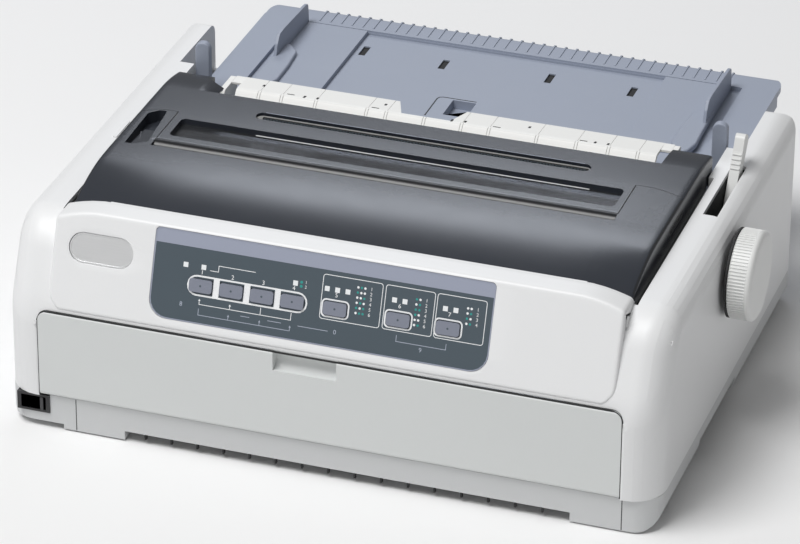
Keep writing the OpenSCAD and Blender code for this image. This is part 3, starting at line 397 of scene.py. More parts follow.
def new_tree(name, sockets):
    """A geometry tree that takes and gives a mesh, with its own sockets between."""
    tree = bpy.data.node_groups.new(name, "GeometryNodeTree")
    tree.interface.new_socket("Geometry", in_out="INPUT", socket_type="NodeSocketGeometry")
    for label, kind in sockets:
        tree.interface.new_socket(label, in_out="INPUT", socket_type="NodeSocket" + kind)
    tree.interface.new_socket("Geometry", in_out="OUTPUT", socket_type="NodeSocketGeometry")
    return tree


def end_tree(tree, points, copy, rotation=None):
    """Instance, realize, set the material and put the result out."""
    nodes, links = tree.nodes, tree.links
    source = nodes["Group Input"]
    spread = nodes.new("GeometryNodeInstanceOnPoints")
    realize = nodes.new("GeometryNodeRealizeInstances")
    coated = nodes.new("GeometryNodeSetMaterial")
    out = nodes.new("NodeGroupOutput")
    links.new(points, spread.inputs["Points"])
    links.new(copy, spread.inputs["Instance"])
    if rotation is not None:
        links.new(rotation, spread.inputs["Rotation"])
    links.new(spread.outputs[0], realize.inputs[0])
    links.new(realize.outputs[0], coated.inputs["Geometry"])
    links.new(source.outputs["Material"], coated.inputs["Material"])
    links.new(coated.outputs[0], out.inputs[0])
    return tree


def row_tree():
    """Copies of the mesh in a straight row."""
    tree = bpy.data.node_groups.get("Row of copies")
    if tree:
        return tree
    tree = new_tree("Row of copies",
                    [("Count", "Int"), ("Step", "Vector"), ("Material", "Material")])
    source = tree.nodes.new("NodeGroupInput")
    line = tree.nodes.new("GeometryNodeMeshLine")
    line.mode = "OFFSET"
    tree.links.new(source.outputs["Count"], line.inputs["Count"])
    tree.links.new(source.outputs["Step"], line.inputs["Offset"])
    return end_tree(tree, line.outputs[0], source.outputs["Geometry"])


def ring_tree():
    """Copies of the mesh turned about an axle along X through the tree's Axle point."""
    tree = bpy.data.node_groups.get("Ring of copies")
    if tree:
        return tree
    tree = new_tree("Ring of copies",
                    [("Count", "Int"), ("Axle", "Vector"), ("Material", "Material")])
    nodes, links = tree.nodes, tree.links
    source = nodes.new("NodeGroupInput")
    line = nodes.new("GeometryNodeMeshLine")
    line.mode = "OFFSET"
    line.inputs["Offset"].default_value = (0, 0, 0)
    links.new(source.outputs["Count"], line.inputs["Count"])
    links.new(source.outputs["Axle"], line.inputs["Start Location"])
    index = nodes.new("GeometryNodeInputIndex")
    share = nodes.new("ShaderNodeMath")
    share.operation = "DIVIDE"
    links.new(index.outputs[0], share.inputs[0])
    links.new(source.outputs["Count"], share.inputs[1])
    turn = nodes.new("ShaderNodeMath")
    turn.operation = "MULTIPLY"
    turn.inputs[1].default_value = 2 * math.pi
    links.new(share.outputs[0], turn.inputs[0])
    angles = nodes.new("ShaderNodeCombineXYZ")
    links.new(turn.outputs[0], angles.inputs["X"])
    return end_tree(tree, line.outputs[0], source.outputs["Geometry"], angles.outputs[0])


def repeated(name, form, tree, values, finish, body, slot, angle=SMOOTH_TURN):
    """Makes one piece out of many copies with a geometry tree."""
    piece = new_object(name, form.mesh(name))
    copies = piece.modifiers.new("copies", "NODES")
    copies.node_group = tree
    values = {**values, "Material": FINISHES[finish]}
    for socket in tree.interface.items_tree:
        if socket.in_out == "INPUT" and socket.name in values:
            copies[socket.identifier] = values[socket.name]
    return settle(baked(piece), finish, body, angle=angle)


def in_row(name, form, count, step, *look, **shading):
    """Copies of a form in a row, a step of (x, y, z) metres apart."""
    return repeated(name, form, row_tree(), {"Count": count, "Step": step}, *look, **shading)


# ---------------------------------------------------------------- shader groups

def shader_group(name, inputs, outputs):
    """A shader group by name, and whether it was there already."""
    group = bpy.data.node_groups.get(name)
    if group:
        return group, True
    group = bpy.data.node_groups.new(name, "ShaderNodeTree")
    for way, sockets in (("INPUT", inputs), ("OUTPUT", outputs)):
        for label, kind in sockets:
            group.interface.new_socket(label, in_out=way, socket_type="NodeSocket" + kind)
    group.nodes.new("NodeGroupInput")
    group.nodes.new("NodeGroupOutput")
    return group, False


def noise(group, scale, detail, rough=0.55, stretch=None):
    """A noise node on Object coordinates; scale may be a socket or a number per metre."""
    nodes, links = group.nodes, group.links
    where = nodes.get("Where") or nodes.new("ShaderNodeTexCoord")
    where.name = "Where"
    source = where.outputs["Object"]
    if stretch:
        mapping = nodes.new("ShaderNodeMapping")
        mapping.inputs["Scale"].default_value = stretch
        links.new(source, mapping.inputs["Vector"])
        source = mapping.outputs[0]
    node = nodes.new("ShaderNodeTexNoise")
    links.new(source, node.inputs["Vector"])
    node.inputs["Detail"].default_value = detail
    node.inputs["Roughness"].default_value = rough
    feed(group, node.inputs["Scale"], scale)
    return node.outputs["Fac"]


def feed(group, socket, value):
    """Sets a socket to a plain value, or links it to another socket."""
    if isinstance(value, (int, float, tuple)):
        socket.default_value = value
    else:
        group.links.new(value, socket)


def calc(group, operation, a, b, clamp=False):
    """A maths node between two sockets or numbers."""
    node = group.nodes.new("ShaderNodeMath")
    node.operation = operation
    node.use_clamp = clamp
    feed(group, node.inputs[0], a)
    feed(group, node.inputs[1], b)
    return node.outputs[0]


def swing(group, pattern, depth):
    """A noise pattern turned about zero, times its depth."""
    return calc(group, "MULTIPLY", calc(group, "SUBTRACT", pattern, 0.5), depth)


def blend_colour(group, factor, a, b):
    """Mixes two colours by a factor."""
    node = group.nodes.new("ShaderNodeMix")
    node.data_type = "RGBA"
    sockets = {s.identifier: s for s in node.inputs}
    for key, value in (("Factor_Float", factor), ("A_Color", a), ("B_Color", b)):
        feed(group, sockets[key], value)
    return next(s for s in node.outputs if s.identifier == "Result_Color")


def moulded_surface():
    """Moulded plastic: a faint change of colour, a fine grain and an uneven polish."""
    group, ready = shader_group(
        "Moulded surface",
        [("Color", "Color"), ("Mottle", "Float"), ("Grain Scale", "Float"),
         ("Grain Height", "Float"), ("Polish", "Float"), ("Polish Spread", "Float")],
        [("Color", "Color"), ("Roughness", "Float"), ("Normal", "Vector")])
    if ready:
        return group
    source, out = group.nodes["Group Input"], group.nodes["Group Output"]
    broad = noise(group, 14.0, 4.0)
    speck = noise(group, 900.0, 2.0)
    shade = swing(group, broad, source.outputs["Mottle"])
    fleck = swing(group, speck, source.outputs["Mottle"])
    value = calc(group, "ADD", calc(group, "ADD", shade, fleck), 1.0)
    tint = group.nodes.new("ShaderNodeHueSaturation")
    group.links.new(source.outputs["Color"], tint.inputs["Color"])
    group.links.new(value, tint.inputs["Value"])
    group.links.new(tint.outputs[0], out.inputs["Color"])
    polish = swing(group, noise(group, 60.0, 4.0), source.outputs["Polish Spread"])
    rough = calc(group, "ADD", polish, source.outputs["Polish"], True)
    group.links.new(rough, out.inputs["Roughness"])
    grain = noise(group, source.outputs["Grain Scale"], 2.0, 0.6)
    bump = group.nodes.new("ShaderNodeBump")
    bump.inputs["Strength"].default_value = 0.6
    group.links.new(source.outputs["Grain Height"], bump.inputs["Distance"])
    group.links.new(grain, bump.inputs["Height"])
    group.links.new(bump.outputs[0], out.inputs["Normal"])
    return group


def settled_dust():
    """A thin film of dust on what faces up, in soft patches."""
    group, ready = shader_group(
        "Settled dust",
        [("Color", "Color"), ("Dust", "Color"), ("Facing", "Vector"), ("Amount", "Float")],
        [("Color", "Color"), ("Mask", "Float")])
    if ready:
        return group
    source, out = group.nodes["Group Input"], group.nodes["Group Output"]
    split = group.nodes.new("ShaderNodeSeparateXYZ")
    group.links.new(source.outputs["Facing"], split.inputs[0])
    up = calc(group, "POWER", calc(group, "MAXIMUM", split.outputs["Z"], 0.0), 3.0)
    patch = calc(group, "MULTIPLY", noise(group, 35.0, 6.0, 0.65), up)
    mask = calc(group, "MULTIPLY", patch, source.outputs["Amount"], True)
    colour = blend_colour(group, mask, source.outputs["Color"], source.outputs["Dust"])
    group.links.new(colour, out.inputs["Color"])
    group.links.new(mask, out.inputs["Mask"])
    return group


def handling_marks():
    """Long faint smears where hands wipe a surface, as a change of polish."""
    group, ready = shader_group(
        "Handling marks",
        [("Roughness", "Float"), ("Depth", "Float")],
        [("Roughness", "Float")])
    if ready:
        return group
    source, out = group.nodes["Group Input"], group.nodes["Group Output"]
    smear = noise(group, 22.0, 5.0, 0.6, (1.0, 3.2, 1.6))
    change = swing(group, smear, source.outputs["Depth"])
    rough = calc(group, "ADD", source.outputs["Roughness"], change, True)
    group.links.new(rough, out.inputs["Roughness"])
    return group


def drawn_metal():
    """Fine streaks along X, as on rolled sheet and ground shafts."""
    group, ready = shader_group(
        "Drawn metal",
        [("Color", "Color"), ("Streak", "Float"), ("Polish", "Float")],
        [("Color", "Color"), ("Roughness", "Float"), ("Normal", "Vector")])
    if ready:
        return group
    source, out = group.nodes["Group Input"], group.nodes["Group Output"]
    streak = noise(group, 90.0, 3.0, 0.6, (0.4, 22.0, 22.0))
    change = swing(group, streak, source.outputs["Streak"])
    tint = group.nodes.new("ShaderNodeHueSaturation")
    group.links.new(source.outputs["Color"], tint.inputs["Color"])
    group.links.new(calc(group, "ADD", change, 1.0), tint.inputs["Value"])
    group.links.new(tint.outputs[0], out.inputs["Color"])
    rough = calc(group, "ADD", change, source.outputs["Polish"], True)
    group.links.new(rough, out.inputs["Roughness"])
    bump = group.nodes.new("ShaderNodeBump")
    bump.inputs["Strength"].default_value = 0.25
    bump.inputs["Distance"].default_value = 0.00004
    group.links.new(streak, bump.inputs["Height"])
    group.links.new(bump.outputs[0], out.inputs["Normal"])
    return group


# ---------------------------------------------------------------- materials

DUST_COLOUR = (0.45, 0.44, 0.42, 1)
COAT_ROUGHNESS = 0.25
PANE_CLEAR = 0.9
PANE_IOR = 1.45


def blank_material(name):
    """A new material, its node tree and its shader."""
    material = bpy.data.materials.new(name)
    material.use_nodes = True
    tree = material.node_tree
    return material, tree, tree.nodes["Principled BSDF"]


def placed_group(tree, group, **values):
    """A shader group in a material's tree, with its inputs set."""
    node = tree.nodes.new("ShaderNodeGroup")
    node.node_tree = group
    for label, value in values.items():
        node.inputs[label.replace("_", " ")].default_value = value
    return node


def moulded(name, colour, polish, mottle, grain, height, spread,
            dust=0.0, marks=0.05, coat=0.0, level=0.5):
    """A moulded plastic, from rough casing to polished cover.

    polish is the roughness and spread its change from place to place, mottle the change of tone,
    grain the number of grains to a metre and height their depth in metres.
    """
    material, tree, shader = blank_material(name)
    links = tree.links
    surface = placed_group(tree, moulded_surface(), Color=(*colour, 1), Mottle=mottle,
                           Grain_Scale=grain, Grain_Height=height, Polish=polish,
                           Polish_Spread=spread)
    smear = placed_group(tree, handling_marks(), Depth=marks)
    links.new(surface.outputs["Roughness"], smear.inputs["Roughness"])
    links.new(smear.outputs["Roughness"], shader.inputs["Roughness"])
    links.new(surface.outputs["Normal"], shader.inputs["Normal"])
    colour_out = surface.outputs["Color"]
    if dust:
        film = placed_group(tree, settled_dust(), Dust=DUST_COLOUR, Amount=dust)
        facing = tree.nodes.new("ShaderNodeTexCoord")
        links.new(facing.outputs["Normal"], film.inputs["Facing"])
        links.new(colour_out, film.inputs["Color"])
        colour_out = film.outputs["Color"]
    links.new(colour_out, shader.inputs["Base Color"])
    shader.inputs["Specular IOR Level"].default_value = level
    shader.inputs["Coat Weight"].default_value = coat
    shader.inputs["Coat Roughness"].default_value = COAT_ROUGHNESS
    return material


def plug_in(tree, surface, shader, labels=("Color", "Roughness", "Normal")):
    """Links what a surface group puts out to the shader."""
    for label in labels:
        socket = "Base Color" if label == "Color" else label
        tree.links.new(surface.outputs[label], shader.inputs[socket])


def metal(name, colour, polish, streak):
    """A bare metal with fine streaks."""
    material, tree, shader = blank_material(name)
    surface = placed_group(tree, drawn_metal(), Color=(*colour, 1), Streak=streak, Polish=polish)
    plug_in(tree, surface, shader)
    shader.inputs["Metallic"].default_value = 1.0
    return material


def clear_pane(name, colour):
    """Smoked clear plastic with a little haze."""
    material, tree, shader = blank_material(name)
    surface = placed_group(tree, moulded_surface(), Color=(*colour, 1), Mottle=0.04,
                           Grain_Scale=300.0, Grain_Height=0.000004, Polish=0.09,
                           Polish_Spread=0.06)
    plug_in(tree, surface, shader)
    shader.inputs["Transmission Weight"].default_value = PANE_CLEAR
    shader.inputs["IOR"].default_value = PANE_IOR
    return material


FINISHES = {}
FILM_GRAIN = 3000


def make_finishes(look):
    """Every material of the printer, by name."""
    tones = {key: tuple(getattr(look, key)) for key in
             ("casing", "door", "base", "cover", "panel", "band", "key", "tray", "bar", "knob")}
    FINISHES.update(
        casing=moulded("casing_white", tones["casing"], 0.42, 0.02, 2200, 0.00003, 0.06),
        door=moulded("door_grey", tones["door"], 0.45, 0.02, 2200, 0.00004, 0.06),
        base=moulded("base_grey", tones["base"], 0.5, 0.025, 1900, 0.00005, 0.06),
        cover=moulded("smoked_cover", tones["cover"], 0.25, 0.05, 1400, 0.000008, 0.04,
                      marks=0.03, dust=0.02),
        # painted shade: the insert's rolled lip is the cover's own plastic, coloured near black for
        # the shade it lies in
        nose=moulded("cover_lip_painted_shade", (0.008, 0.008, 0.010), 0.3, 0.05, 1400, 0.00001, 0.05),
        pane=clear_pane("window_smoke", (0.22, 0.23, 0.25)),
        clear=clear_pane("window_clear", (0.72, 0.74, 0.76)),
        panel=moulded("panel_film_slate", tones["panel"], 0.4, 0.02, FILM_GRAIN, 0.000015, 0.05),
        band=moulded("panel_film_band", tones["band"], 0.4, 0.02, FILM_GRAIN, 0.000015, 0.05),
        # white print, also used as the painted highlight along the window's rear edge
        ink=moulded("print_white", (0.86, 0.87, 0.88), 0.5, 0.03, FILM_GRAIN, 0.00001, 0.05),
        # pale print, also used as painted highlight on the paper slot's front teeth and back edge
        faint=moulded("print_pale", (0.42, 0.46, 0.55), 0.5, 0.03, FILM_GRAIN, 0.00001, 0.05),
        teal=moulded("print_teal", (0.03, 0.30, 0.27), 0.5, 0.03, FILM_GRAIN, 0.00001, 0.05),
        rocker=moulded("rocker_black", (0.045, 0.045, 0.048), 0.5, 0.05, 2000, 0.00002, 0.1),
        key=moulded("key_lavender", tones["key"], 0.38, 0.03, 2600, 0.00002, 0.08, marks=0.1),
        lens=moulded("lamp_lens", (0.85, 0.87, 0.88), 0.2, 0.02, 900, 0.000004, 0.04, coat=0.6),
        silver=metal("badge_silver", (0.86, 0.865, 0.87), 0.5, 0.08),
        black=moulded("moulding_black", (0.018, 0.018, 0.020), 0.36, 0.08, 2000, 0.00002, 0.1,
                      dust=0.06),
        # painted shade: a near black put into gaps, holes, slots, grooves and creases where shade
        # falls
        shadow=moulded("painted_shade_dark", (0.02, 0.02, 0.021), 0.7, 0.05, 1500, 0.00001, 0.05),
        tray=moulded("tray_blue_grey", tones["tray"], 0.46, 0.03, 1500, 0.00006, 0.08, dust=0.04),
        bar=moulded("bar_white", tones["bar"], 0.4, 0.02, 2400, 0.00002, 0.06),
        knob=moulded("knob_white", tones["knob"], 0.42, 0.02, 2400, 0.00002, 0.08, marks=0.1),
        steel=metal("ground_steel", (0.56, 0.56, 0.57), 0.26, 0.2),
        zinc=metal("zinc_sheet", (0.50, 0.51, 0.53), 0.38, 0.3),
        rubber=moulded("ground_rubber", (0.017, 0.017, 0.018), 0.78, 0.15, 1600, 0.00006, 0.1,
                       dust=0.08, level=0.3),
        nylon=moulded("gear_nylon", (0.72, 0.70, 0.63), 0.38, 0.03, 1800, 0.00002, 0.08),
        board=moulded("board_green", (0.02, 0.12, 0.06), 0.32, 0.2, 700, 0.00004, 0.1, coat=0.3),
        fibre=moulded("slot_brush", (0.035, 0.036, 0.038), 0.8, 0.3, 1100, 0.0002, 0.1),
    )


# ---------------------------------------------------------------- casing and base

# the sides' rolled front, seen from the side, as (Y, Z, radius)
FRONT_OUTLINE = [(0, 20, 0), (0, 84, 60), (26, SIDE_TOP, 34), (76, SIDE_TOP, 0)]
# radius of the case's edge at its front corners and along its deck
CORNER_ROUND = 22.0
DECK_ROUND = 15.0
# degrees of a rounded quarter
QUARTER = range(0, 91, 9)
# the joint between the casing and the base
SEAM_Z = 25.0
# inner edges of the rolled front's cutter and of the liner behind it, and its thickness
CORNER_INNER = 172
LINER_INNER = 194.2
LINER_SKIN = 2.6
# how far that cutter reaches past the case, and the least gap between two faces
BEYOND = 16
HAIR = 0.03
# the gutter beside the cover runs from its X to the deck's edge
GUTTER_X = 185.9
DECK_EDGE = 189.8
# from here on out the brow's top falls away
BROW_END_X = 157
DOOR_GAP = 0.4
DOOR_CORNER = 8
CLIP_X = (-197.2, -194.5)


def rolled_corner(r, rise, turns):
    """Points (x, height) over a casing edge of radius r, rise millimetres out of its face."""
    return [(HALF_W - r + (r + rise) * math.sin(math.radians(t)),
             (r + rise) * math.cos(math.radians(t)) - r) for t in turns]


def front_edge(inner, gap, skin):
    """Cross-sections along the rolled front edge of a casing side, as (x, y, z) loops.

    Each loop runs out from x = inner over the rolled edge and down the side, and back again:
    beyond the case when skin is 0, or skin millimetres under its surface.
    """
    line = rounded(FRONT_OUTLINE, 14)
    loops = []
    if skin:
        line = [(y, max(z, SEAM_Z)) for y, z in line]
    for i, (y, z) in enumerate(line):
        a, b = Vector(line[max(0, i - 1)]), Vector(line[min(len(line) - 1, i + 1)])
        along = (b - a).normalized()
        out = Vector((-along.y, along.x))
        turn = math.atan2(out.y, -out.x) / (math.pi / 2)
        r = CORNER_ROUND + (DECK_ROUND - CORNER_ROUND) * turn
        low = -r - 5
        edge = [(inner, gap), *rolled_corner(r, gap, QUARTER), (HALF_W + gap, low)]
        if skin:
            back = [(HALF_W - skin, low), *rolled_corner(r, -skin, QUARTER[::-1]), (inner, -skin)]
        else:
            back = [(HALF_W + BEYOND, low), (HALF_W + BEYOND, BEYOND), (inner, BEYOND)]
        loops.append([(x, y + out.x * h, z + out.y * h) for x, h in edge + back])
    return loops


def lofted(loops, side):
    """A closed shape through loops of equal length, mirrored to the left for side -1."""
    n = len(loops[0])
    points = [(side * x, y, z) for loop in loops for x, y, z in loop]
    faces = [(i * n + j, i * n + (j + 1) % n, (i + 1) * n + (j + 1) % n, (i + 1) * n + j)
             for i in range(len(loops) - 1) for j in range(n)]
    faces += [tuple(range(n)), tuple((len(loops) - 1) * n + j for j in range(n))]
    return Form().add(points, faces)


def on_front(x, z, h):
    """Across the casing's front, up it and out of its face."""
    return (x, -h, z)


def make_casing():
    """The upper casing with its rolled corners, the seam of the door, the brow and the base."""
    case = dressed("upper_case", "casing", edge=0.6, segments=3)
    # rolls the front corners, opens the gutters beside the cover and clears the ends of the brow
    cuts = [lofted(front_edge(CORNER_INNER, HAIR, 0), side) for side in (-1, 1)]
    for side in (-1, 1):
        cuts.append(Form().side_box(side, (GUTTER_X, 40.5, 131.5), (DECK_EDGE, 217, 143)))
        cuts.append(Form().side_box(side, (BROW_END_X, 8, 143), (190, 41.6, 153)))
    # crisp dark seam round the front door: a cut in the casing, with a strip of painted shade
    # behind it in the gap
    edge, low = -DOOR_HALF - DOOR_GAP, DOOR_TOP - DOOR_CORNER
    seam = [(edge, SEAM_Z), (edge, low)]
    seam += arc((edge + DOOR_CORNER, low + DOOR_GAP), DOOR_CORNER, 180, 90, 8)
    seam += [(-x, z) for x, z in reversed(seam)]
    cuts.append(Form(on_front).stroke(seam, 0.55, lift=1.0, thick=1.8))
    cut(case, cuts)
    smooth(case, SMOOTH_TURN, weighted=True)
    # painted shade: a near black strip behind the door's seam
    line = Form(on_front).stroke(seam, 1.3, lift=-0.55, thick=0.4)
    build("door_seam_painted_shade", line, "shadow", "printer")
    for side, name in ((-1, "left"), (1, "right")):
        liner = lofted(front_edge(LINER_INNER, -HAIR, LINER_SKIN), side)
        build(f"corner_liner_{name}", liner, "casing", "printer")
    make_brow()
    clip = Form().box((CLIP_X[0], 142, SIDE_TOP - 0.5), (CLIP_X[1], 166, SIDE_TOP + 0.8))
    build("deck_clip", clip, "casing", "printer", edge=0.3)
    make_base()


def make_base():
    """The base pan and its feet, with lines and ribs of painted shade in the front of the pan."""
    dressed("base_pan", "base", edge=0.5)
    dressed("rubber_feet", "rubber", edge=0.3)
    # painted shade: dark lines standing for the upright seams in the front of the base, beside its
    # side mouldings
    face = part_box("base_pan")[0].y / MM - CASE_Y
    lines = Form()
    for x in (-169.2, 194.4):
        lines.box((x - 0.3, face - 0.03, 1.6), (x + 0.3, face + 1.5, 24.2))
    build("base_seam_shade", lines, "shadow", "printer")
    # ribs in the base's arch, coloured near black as painted shade
    rib = Form().box((-122.7, face + 0.6, 3.4), (-121.5, face + 3.0, 7.6))
    in_row("arch_ribs", rib, 16, (17.67 * MM, 0, 0), "shadow", "printer", "base_grey")


BROW_HALF = 187.0
BROW_LOW = -4.0
BROW_BACK = 41.0
BROW_TOP = 150.6
BROW_WALL = 1.4
# its skin stands this far out of the casing's slope, and ends at this height behind
BROW_LIFT = 0.5
BROW_INSIDE = 137.0
# radii: the lower corners, the roll from the face to the top, the face's edge, the rear edge
BROW_CORNER = 12.0
BROW_ROLL = 3.0
FACE_ROUND = 2.2
BACK_ROUND = 1.2
# the first line of points along each edge of the brow is sunk by this much, out of sight
EDGE_SUNK = 6.0
END_SUNK = 12.0
# steps in from an edge, close together where it is round, and then up the brow's slope
ROUND_STEPS = (0, 0, 0.2, 0.6, 1.2, 2.0, 3.0)
SLOPE_STEPS = (3, 6, 10, 16, 24, 32, 40, 48)
# a fall is how much, over how far, and the power of its curve
BROW_END_FALL = (5.3, 28, 1.8)


def curved_fall(shape, distance):
    """How far a surface has fallen, at a distance past where its curve begins."""
    amount, run, power = shape
    return amount * max(0.0, distance / run) ** power


def brow_top(x):
    """Height of the brow's top, which falls towards both ends."""
    return BROW_TOP - curved_fall(BROW_END_FALL, abs(x) - BROW_END_X)


def round_fall(radius, distance):
    """How far a rounded edge lies under its face, at a distance in from the edge."""
    return radius - math.sqrt(max(0.0, radius ** 2 - (radius - min(radius, distance)) ** 2))


def brow_reach(s):
    """Half width of the brow at a place up its slope, with rounded lower corners."""
    low = BROW_LOW + BROW_CORNER
    if s >= low:
        return BROW_HALF
    return BROW_HALF - BROW_CORNER + math.sqrt(max(0.0, BROW_CORNER ** 2 - (low - s) ** 2))


def brow_column(x, end_gap, drop):
    """One upright line of points over the brow: its lower edge, face, rolled top and back.

    x gives the place across the brow for a place up its slope, end_gap is how far in from the
    brow's end the line stands, and drop sinks the whole line.
    """
    c, n = math.cos(BROW_LEAN), math.sin(BROW_LEAN)
    top = brow_top(min(abs(x(20)), BROW_HALF))
    crest = (top - BROW_FOOT[1] - BROW_LIFT * c) / n
    face_end = crest - BROW_ROLL * math.tan(BROW_LEAN / 2)
    levels = [BROW_LOW + d for d in ROUND_STEPS] + list(SLOPE_STEPS)
    last = SLOPE_STEPS[-1]
    levels += [last + (face_end - last) * d for d in (0.4, 0.8, 1.0)]
    sink = round_fall(FACE_ROUND, end_gap)
    points = []
    for k, s in enumerate(levels):
        fall = max(round_fall(FACE_ROUND, s - BROW_LOW), sink)
        fall += (EDGE_SUNK if k == 0 else 0.0) + drop
        points.append(on_brow(x(s), s, BROW_LIFT - fall))
    sink += drop
    foot = on_brow(0, face_end, BROW_LIFT)
    middle = (foot[1] + BROW_ROLL * n, foot[2] - BROW_ROLL * c)
    across = x(60)
    for t in (*(math.radians(degrees) for degrees in (15, 30, 45, 60)), BROW_LEAN):
        turn = math.pi / 2 + BROW_LEAN - t
        points.append((across, middle[0] + (BROW_ROLL - sink) * math.cos(turn),
                       middle[1] + (BROW_ROLL - sink) * math.sin(turn)))
    for y in (30, 36, *(BROW_BACK - d for d in (BACK_ROUND, 0.6, 0.2, 0))):
        points.append((across, y, top - round_fall(BACK_ROUND, BROW_BACK - y) - sink))
    points.append((across, BROW_BACK, BROW_INSIDE))
    return points


def make_brow():
    """The pillow-shaped brow, with the recess of the control panel and of the badge."""
    gaps = (*ROUND_STEPS, 6, 11, 18, 26, 36)

    def end(side):
        """The lines of points near one end of the brow, from the end inwards."""
        return [brow_column(lambda s, g=g: side * (brow_reach(s) - g), g,
                            END_SUNK if k == 0 else 0.0) for k, g in enumerate(gaps)]

    middle = [brow_column(lambda s, v=v: v, 50, 0) for v in range(-136, 137, 16)]
    columns = end(-1) + middle + end(1)[::-1]
    n = len(columns[0])
    shell = Form()
    shell.add([p for column in columns for p in column],
              [(i * n + j, (i + 1) * n + j, (i + 1) * n + j + 1, i * n + j + 1)
               for i in range(len(columns) - 1) for j in range(n - 1)])
    piece = walled("brow_pillow", shell, BROW_WALL)
    g = 0.3
    window = Form(on_brow).prism(
        rounded([(PANEL_LO[0] - g, PANEL_LO[1] - g, 12), (PANEL_HI[0] + g, PANEL_LO[1] - g, 12),
                 (PANEL_HI[0] + g, PANEL_HI[1] + g, 3), (PANEL_LO[0] - g, PANEL_HI[1] + g, 3)], 8),
        -3, 3, "z")
    half = (BADGE_SIZE[0] / 2 + g, BADGE_SIZE[1] / 2 + g)
    recess = plate_outline((BADGE[0] - half[0], BADGE[1] - half[1]),
                           (BADGE[0] + half[0], BADGE[1] + half[1]), half[1] - 0.1, 12)
    cut(piece, [window, Form(on_brow).prism(recess, -3, 3, "z")])
    soften(piece, 0.22, 2, 50)
    settle(piece, "casing", "printer", angle=40)


# ---------------------------------------------------------------- access cover

# the crown's highest stretch
CREST_Y = 118.0
CREST_BACK = 168.0
# the insert's front edge, how deep it lies there, and how far its nose rolls down
INSERT_FRONT = 116.6
INSERT_SINK = 4.9
NOSE_DROP = 5.0
# behind this the left arm is narrower
ARM_Y = 222
# lower edges of the skirt at the sides and at the back
COVER_SIDE_LOW = 133.0
COVER_BACK_LOW = 139.4
COVER_WALL = 2.2
# falls of the cover's top: how much, over how far, and the power of the curve
CROWN_FALL = (7.25, 77.0, 2.7)
FRONT_ROLL = (4.2, 4.5, 2.4)
REAR_FALL = (0.15, 36, 2)
REAR_ROLL = (3.2, 28, 1.8)
# the front corners fall away too: where that begins and how far it runs, each way
CORNER_X = (130, 55)
CORNER_Y = (90, 49)
CORNER_FALL = 6.5


def cover_height(x, y):
    """Top of the cover: a rolled front, a long crown, a nose along the insert, flat shoulders."""
    a = abs(x)
    z = COVER_TOP - curved_fall(CROWN_FALL, CREST_Y - y)
    # the rolled front, and its corners, which fall away
    z -= curved_fall(FRONT_ROLL, COVER_FRONT + FRONT_ROLL[1] - y)
    if a > CORNER_X[0] and y < CORNER_Y[0]:
        z -= (CORNER_FALL * ((a - CORNER_X[0]) / CORNER_X[1]) ** 2
              * ((CORNER_Y[0] - y) / CORNER_Y[1]) ** 1.5)
    # the crown's slight rise and the falls behind it
    z += 0.35 * min(1.0, max(0.0, (y - CREST_Y) / 50))
    z -= curved_fall(REAR_FALL, y - CREST_BACK) + curved_fall(REAR_ROLL, y - COVER_MID_BACK)
    if INSERT_X[0] < x < INSERT_X[1]:
        if INSERT_FRONT < y < NOSE[0]:
            z = COVER_TOP - INSERT_SINK
        elif NOSE[0] <= y < NOSE[1]:
            reach = (NOSE[1] - y) / (NOSE[1] - NOSE[0])
            z -= NOSE_DROP - NOSE_DROP * math.sqrt(max(0.0, 1 - reach ** 2))
    if a > SHOULDER_X:
        r = COVER_HALF - SHOULDER_X
        z -= r - math.sqrt(max(0.0, r * r - min(r, a - SHOULDER_X) ** 2))
    if y > COVER_MID_BACK + 0.15 and (ARM_LEFT - 0.1 < x < ARM_RIGHT + 0.1):
        z -= 5.0
    if y > COVER_BACK - 0.02:
        z = COVER_BACK_LOW
    if a > COVER_HALF + 0.005:
        z = COVER_SIDE_LOW if y < 215 else COVER_BACK_LOW
    return z


def on_cover(x, y, h):
    """A point on the top of the cover, raised by h."""
    return (x, y, cover_height(x, y) + h)


def stations(*groups):
    """Grid lines: each group is (from, to, count)."""
    values = []
    for lo, hi, count in groups:
        values += [lo + (hi - lo) * i / count for i in range(count)]
    return values


def cover_grid():
    """The places across and along the cover where its height is worked out."""
    width = COVER_HALF - SHOULDER_X
    edge = [SHOULDER_X + d * width for d in (0, 0.3, 0.55, 0.75, 0.9, 0.98, 1.0)]
    edge.append(COVER_HALF + 0.01)
    rise = stations((163.5, SHOULDER_X, 6))
    left = [-v for v in edge + rise] + [ARM_LEFT_BACK, ARM_LEFT, INSERT_X[0], INSERT_X[0] + 0.15]
    right = [142, INSERT_X[1] - 0.15, INSERT_X[1], ARM_RIGHT, ARM_RIGHT + 0.25, *rise, *edge]
    xs = sorted(left + stations((-146, 142, 30)) + right)
    depth = NOSE[1] - NOSE[0]
    ys = [COVER_FRONT] + stations((COVER_FRONT + 0.4, 47, 5), (47, 114, 22))
    ys += [114, INSERT_FRONT - 0.1, INSERT_FRONT + 0.1, NOSE[0] - 0.05]
    ys += [NOSE[0] + depth * d for d in (0, 0.04, 0.12, 0.25, 0.42, 0.6, 0.8, 1.0)]
    ys += stations((129, COVER_MID_BACK, 16)) + [COVER_MID_BACK, COVER_MID_BACK + 0.3]
    ys += stations((206, ARM_Y, 4)) + [ARM_Y] + stations((223.5, 228, 3))
    ys += [228, COVER_BACK - 0.1, COVER_BACK]
    return xs, sorted(set(ys))


def through_cover(outline):
    """A cutter that goes right through the top of the cover."""
    return Form().prism(outline, 135, 165, "z")


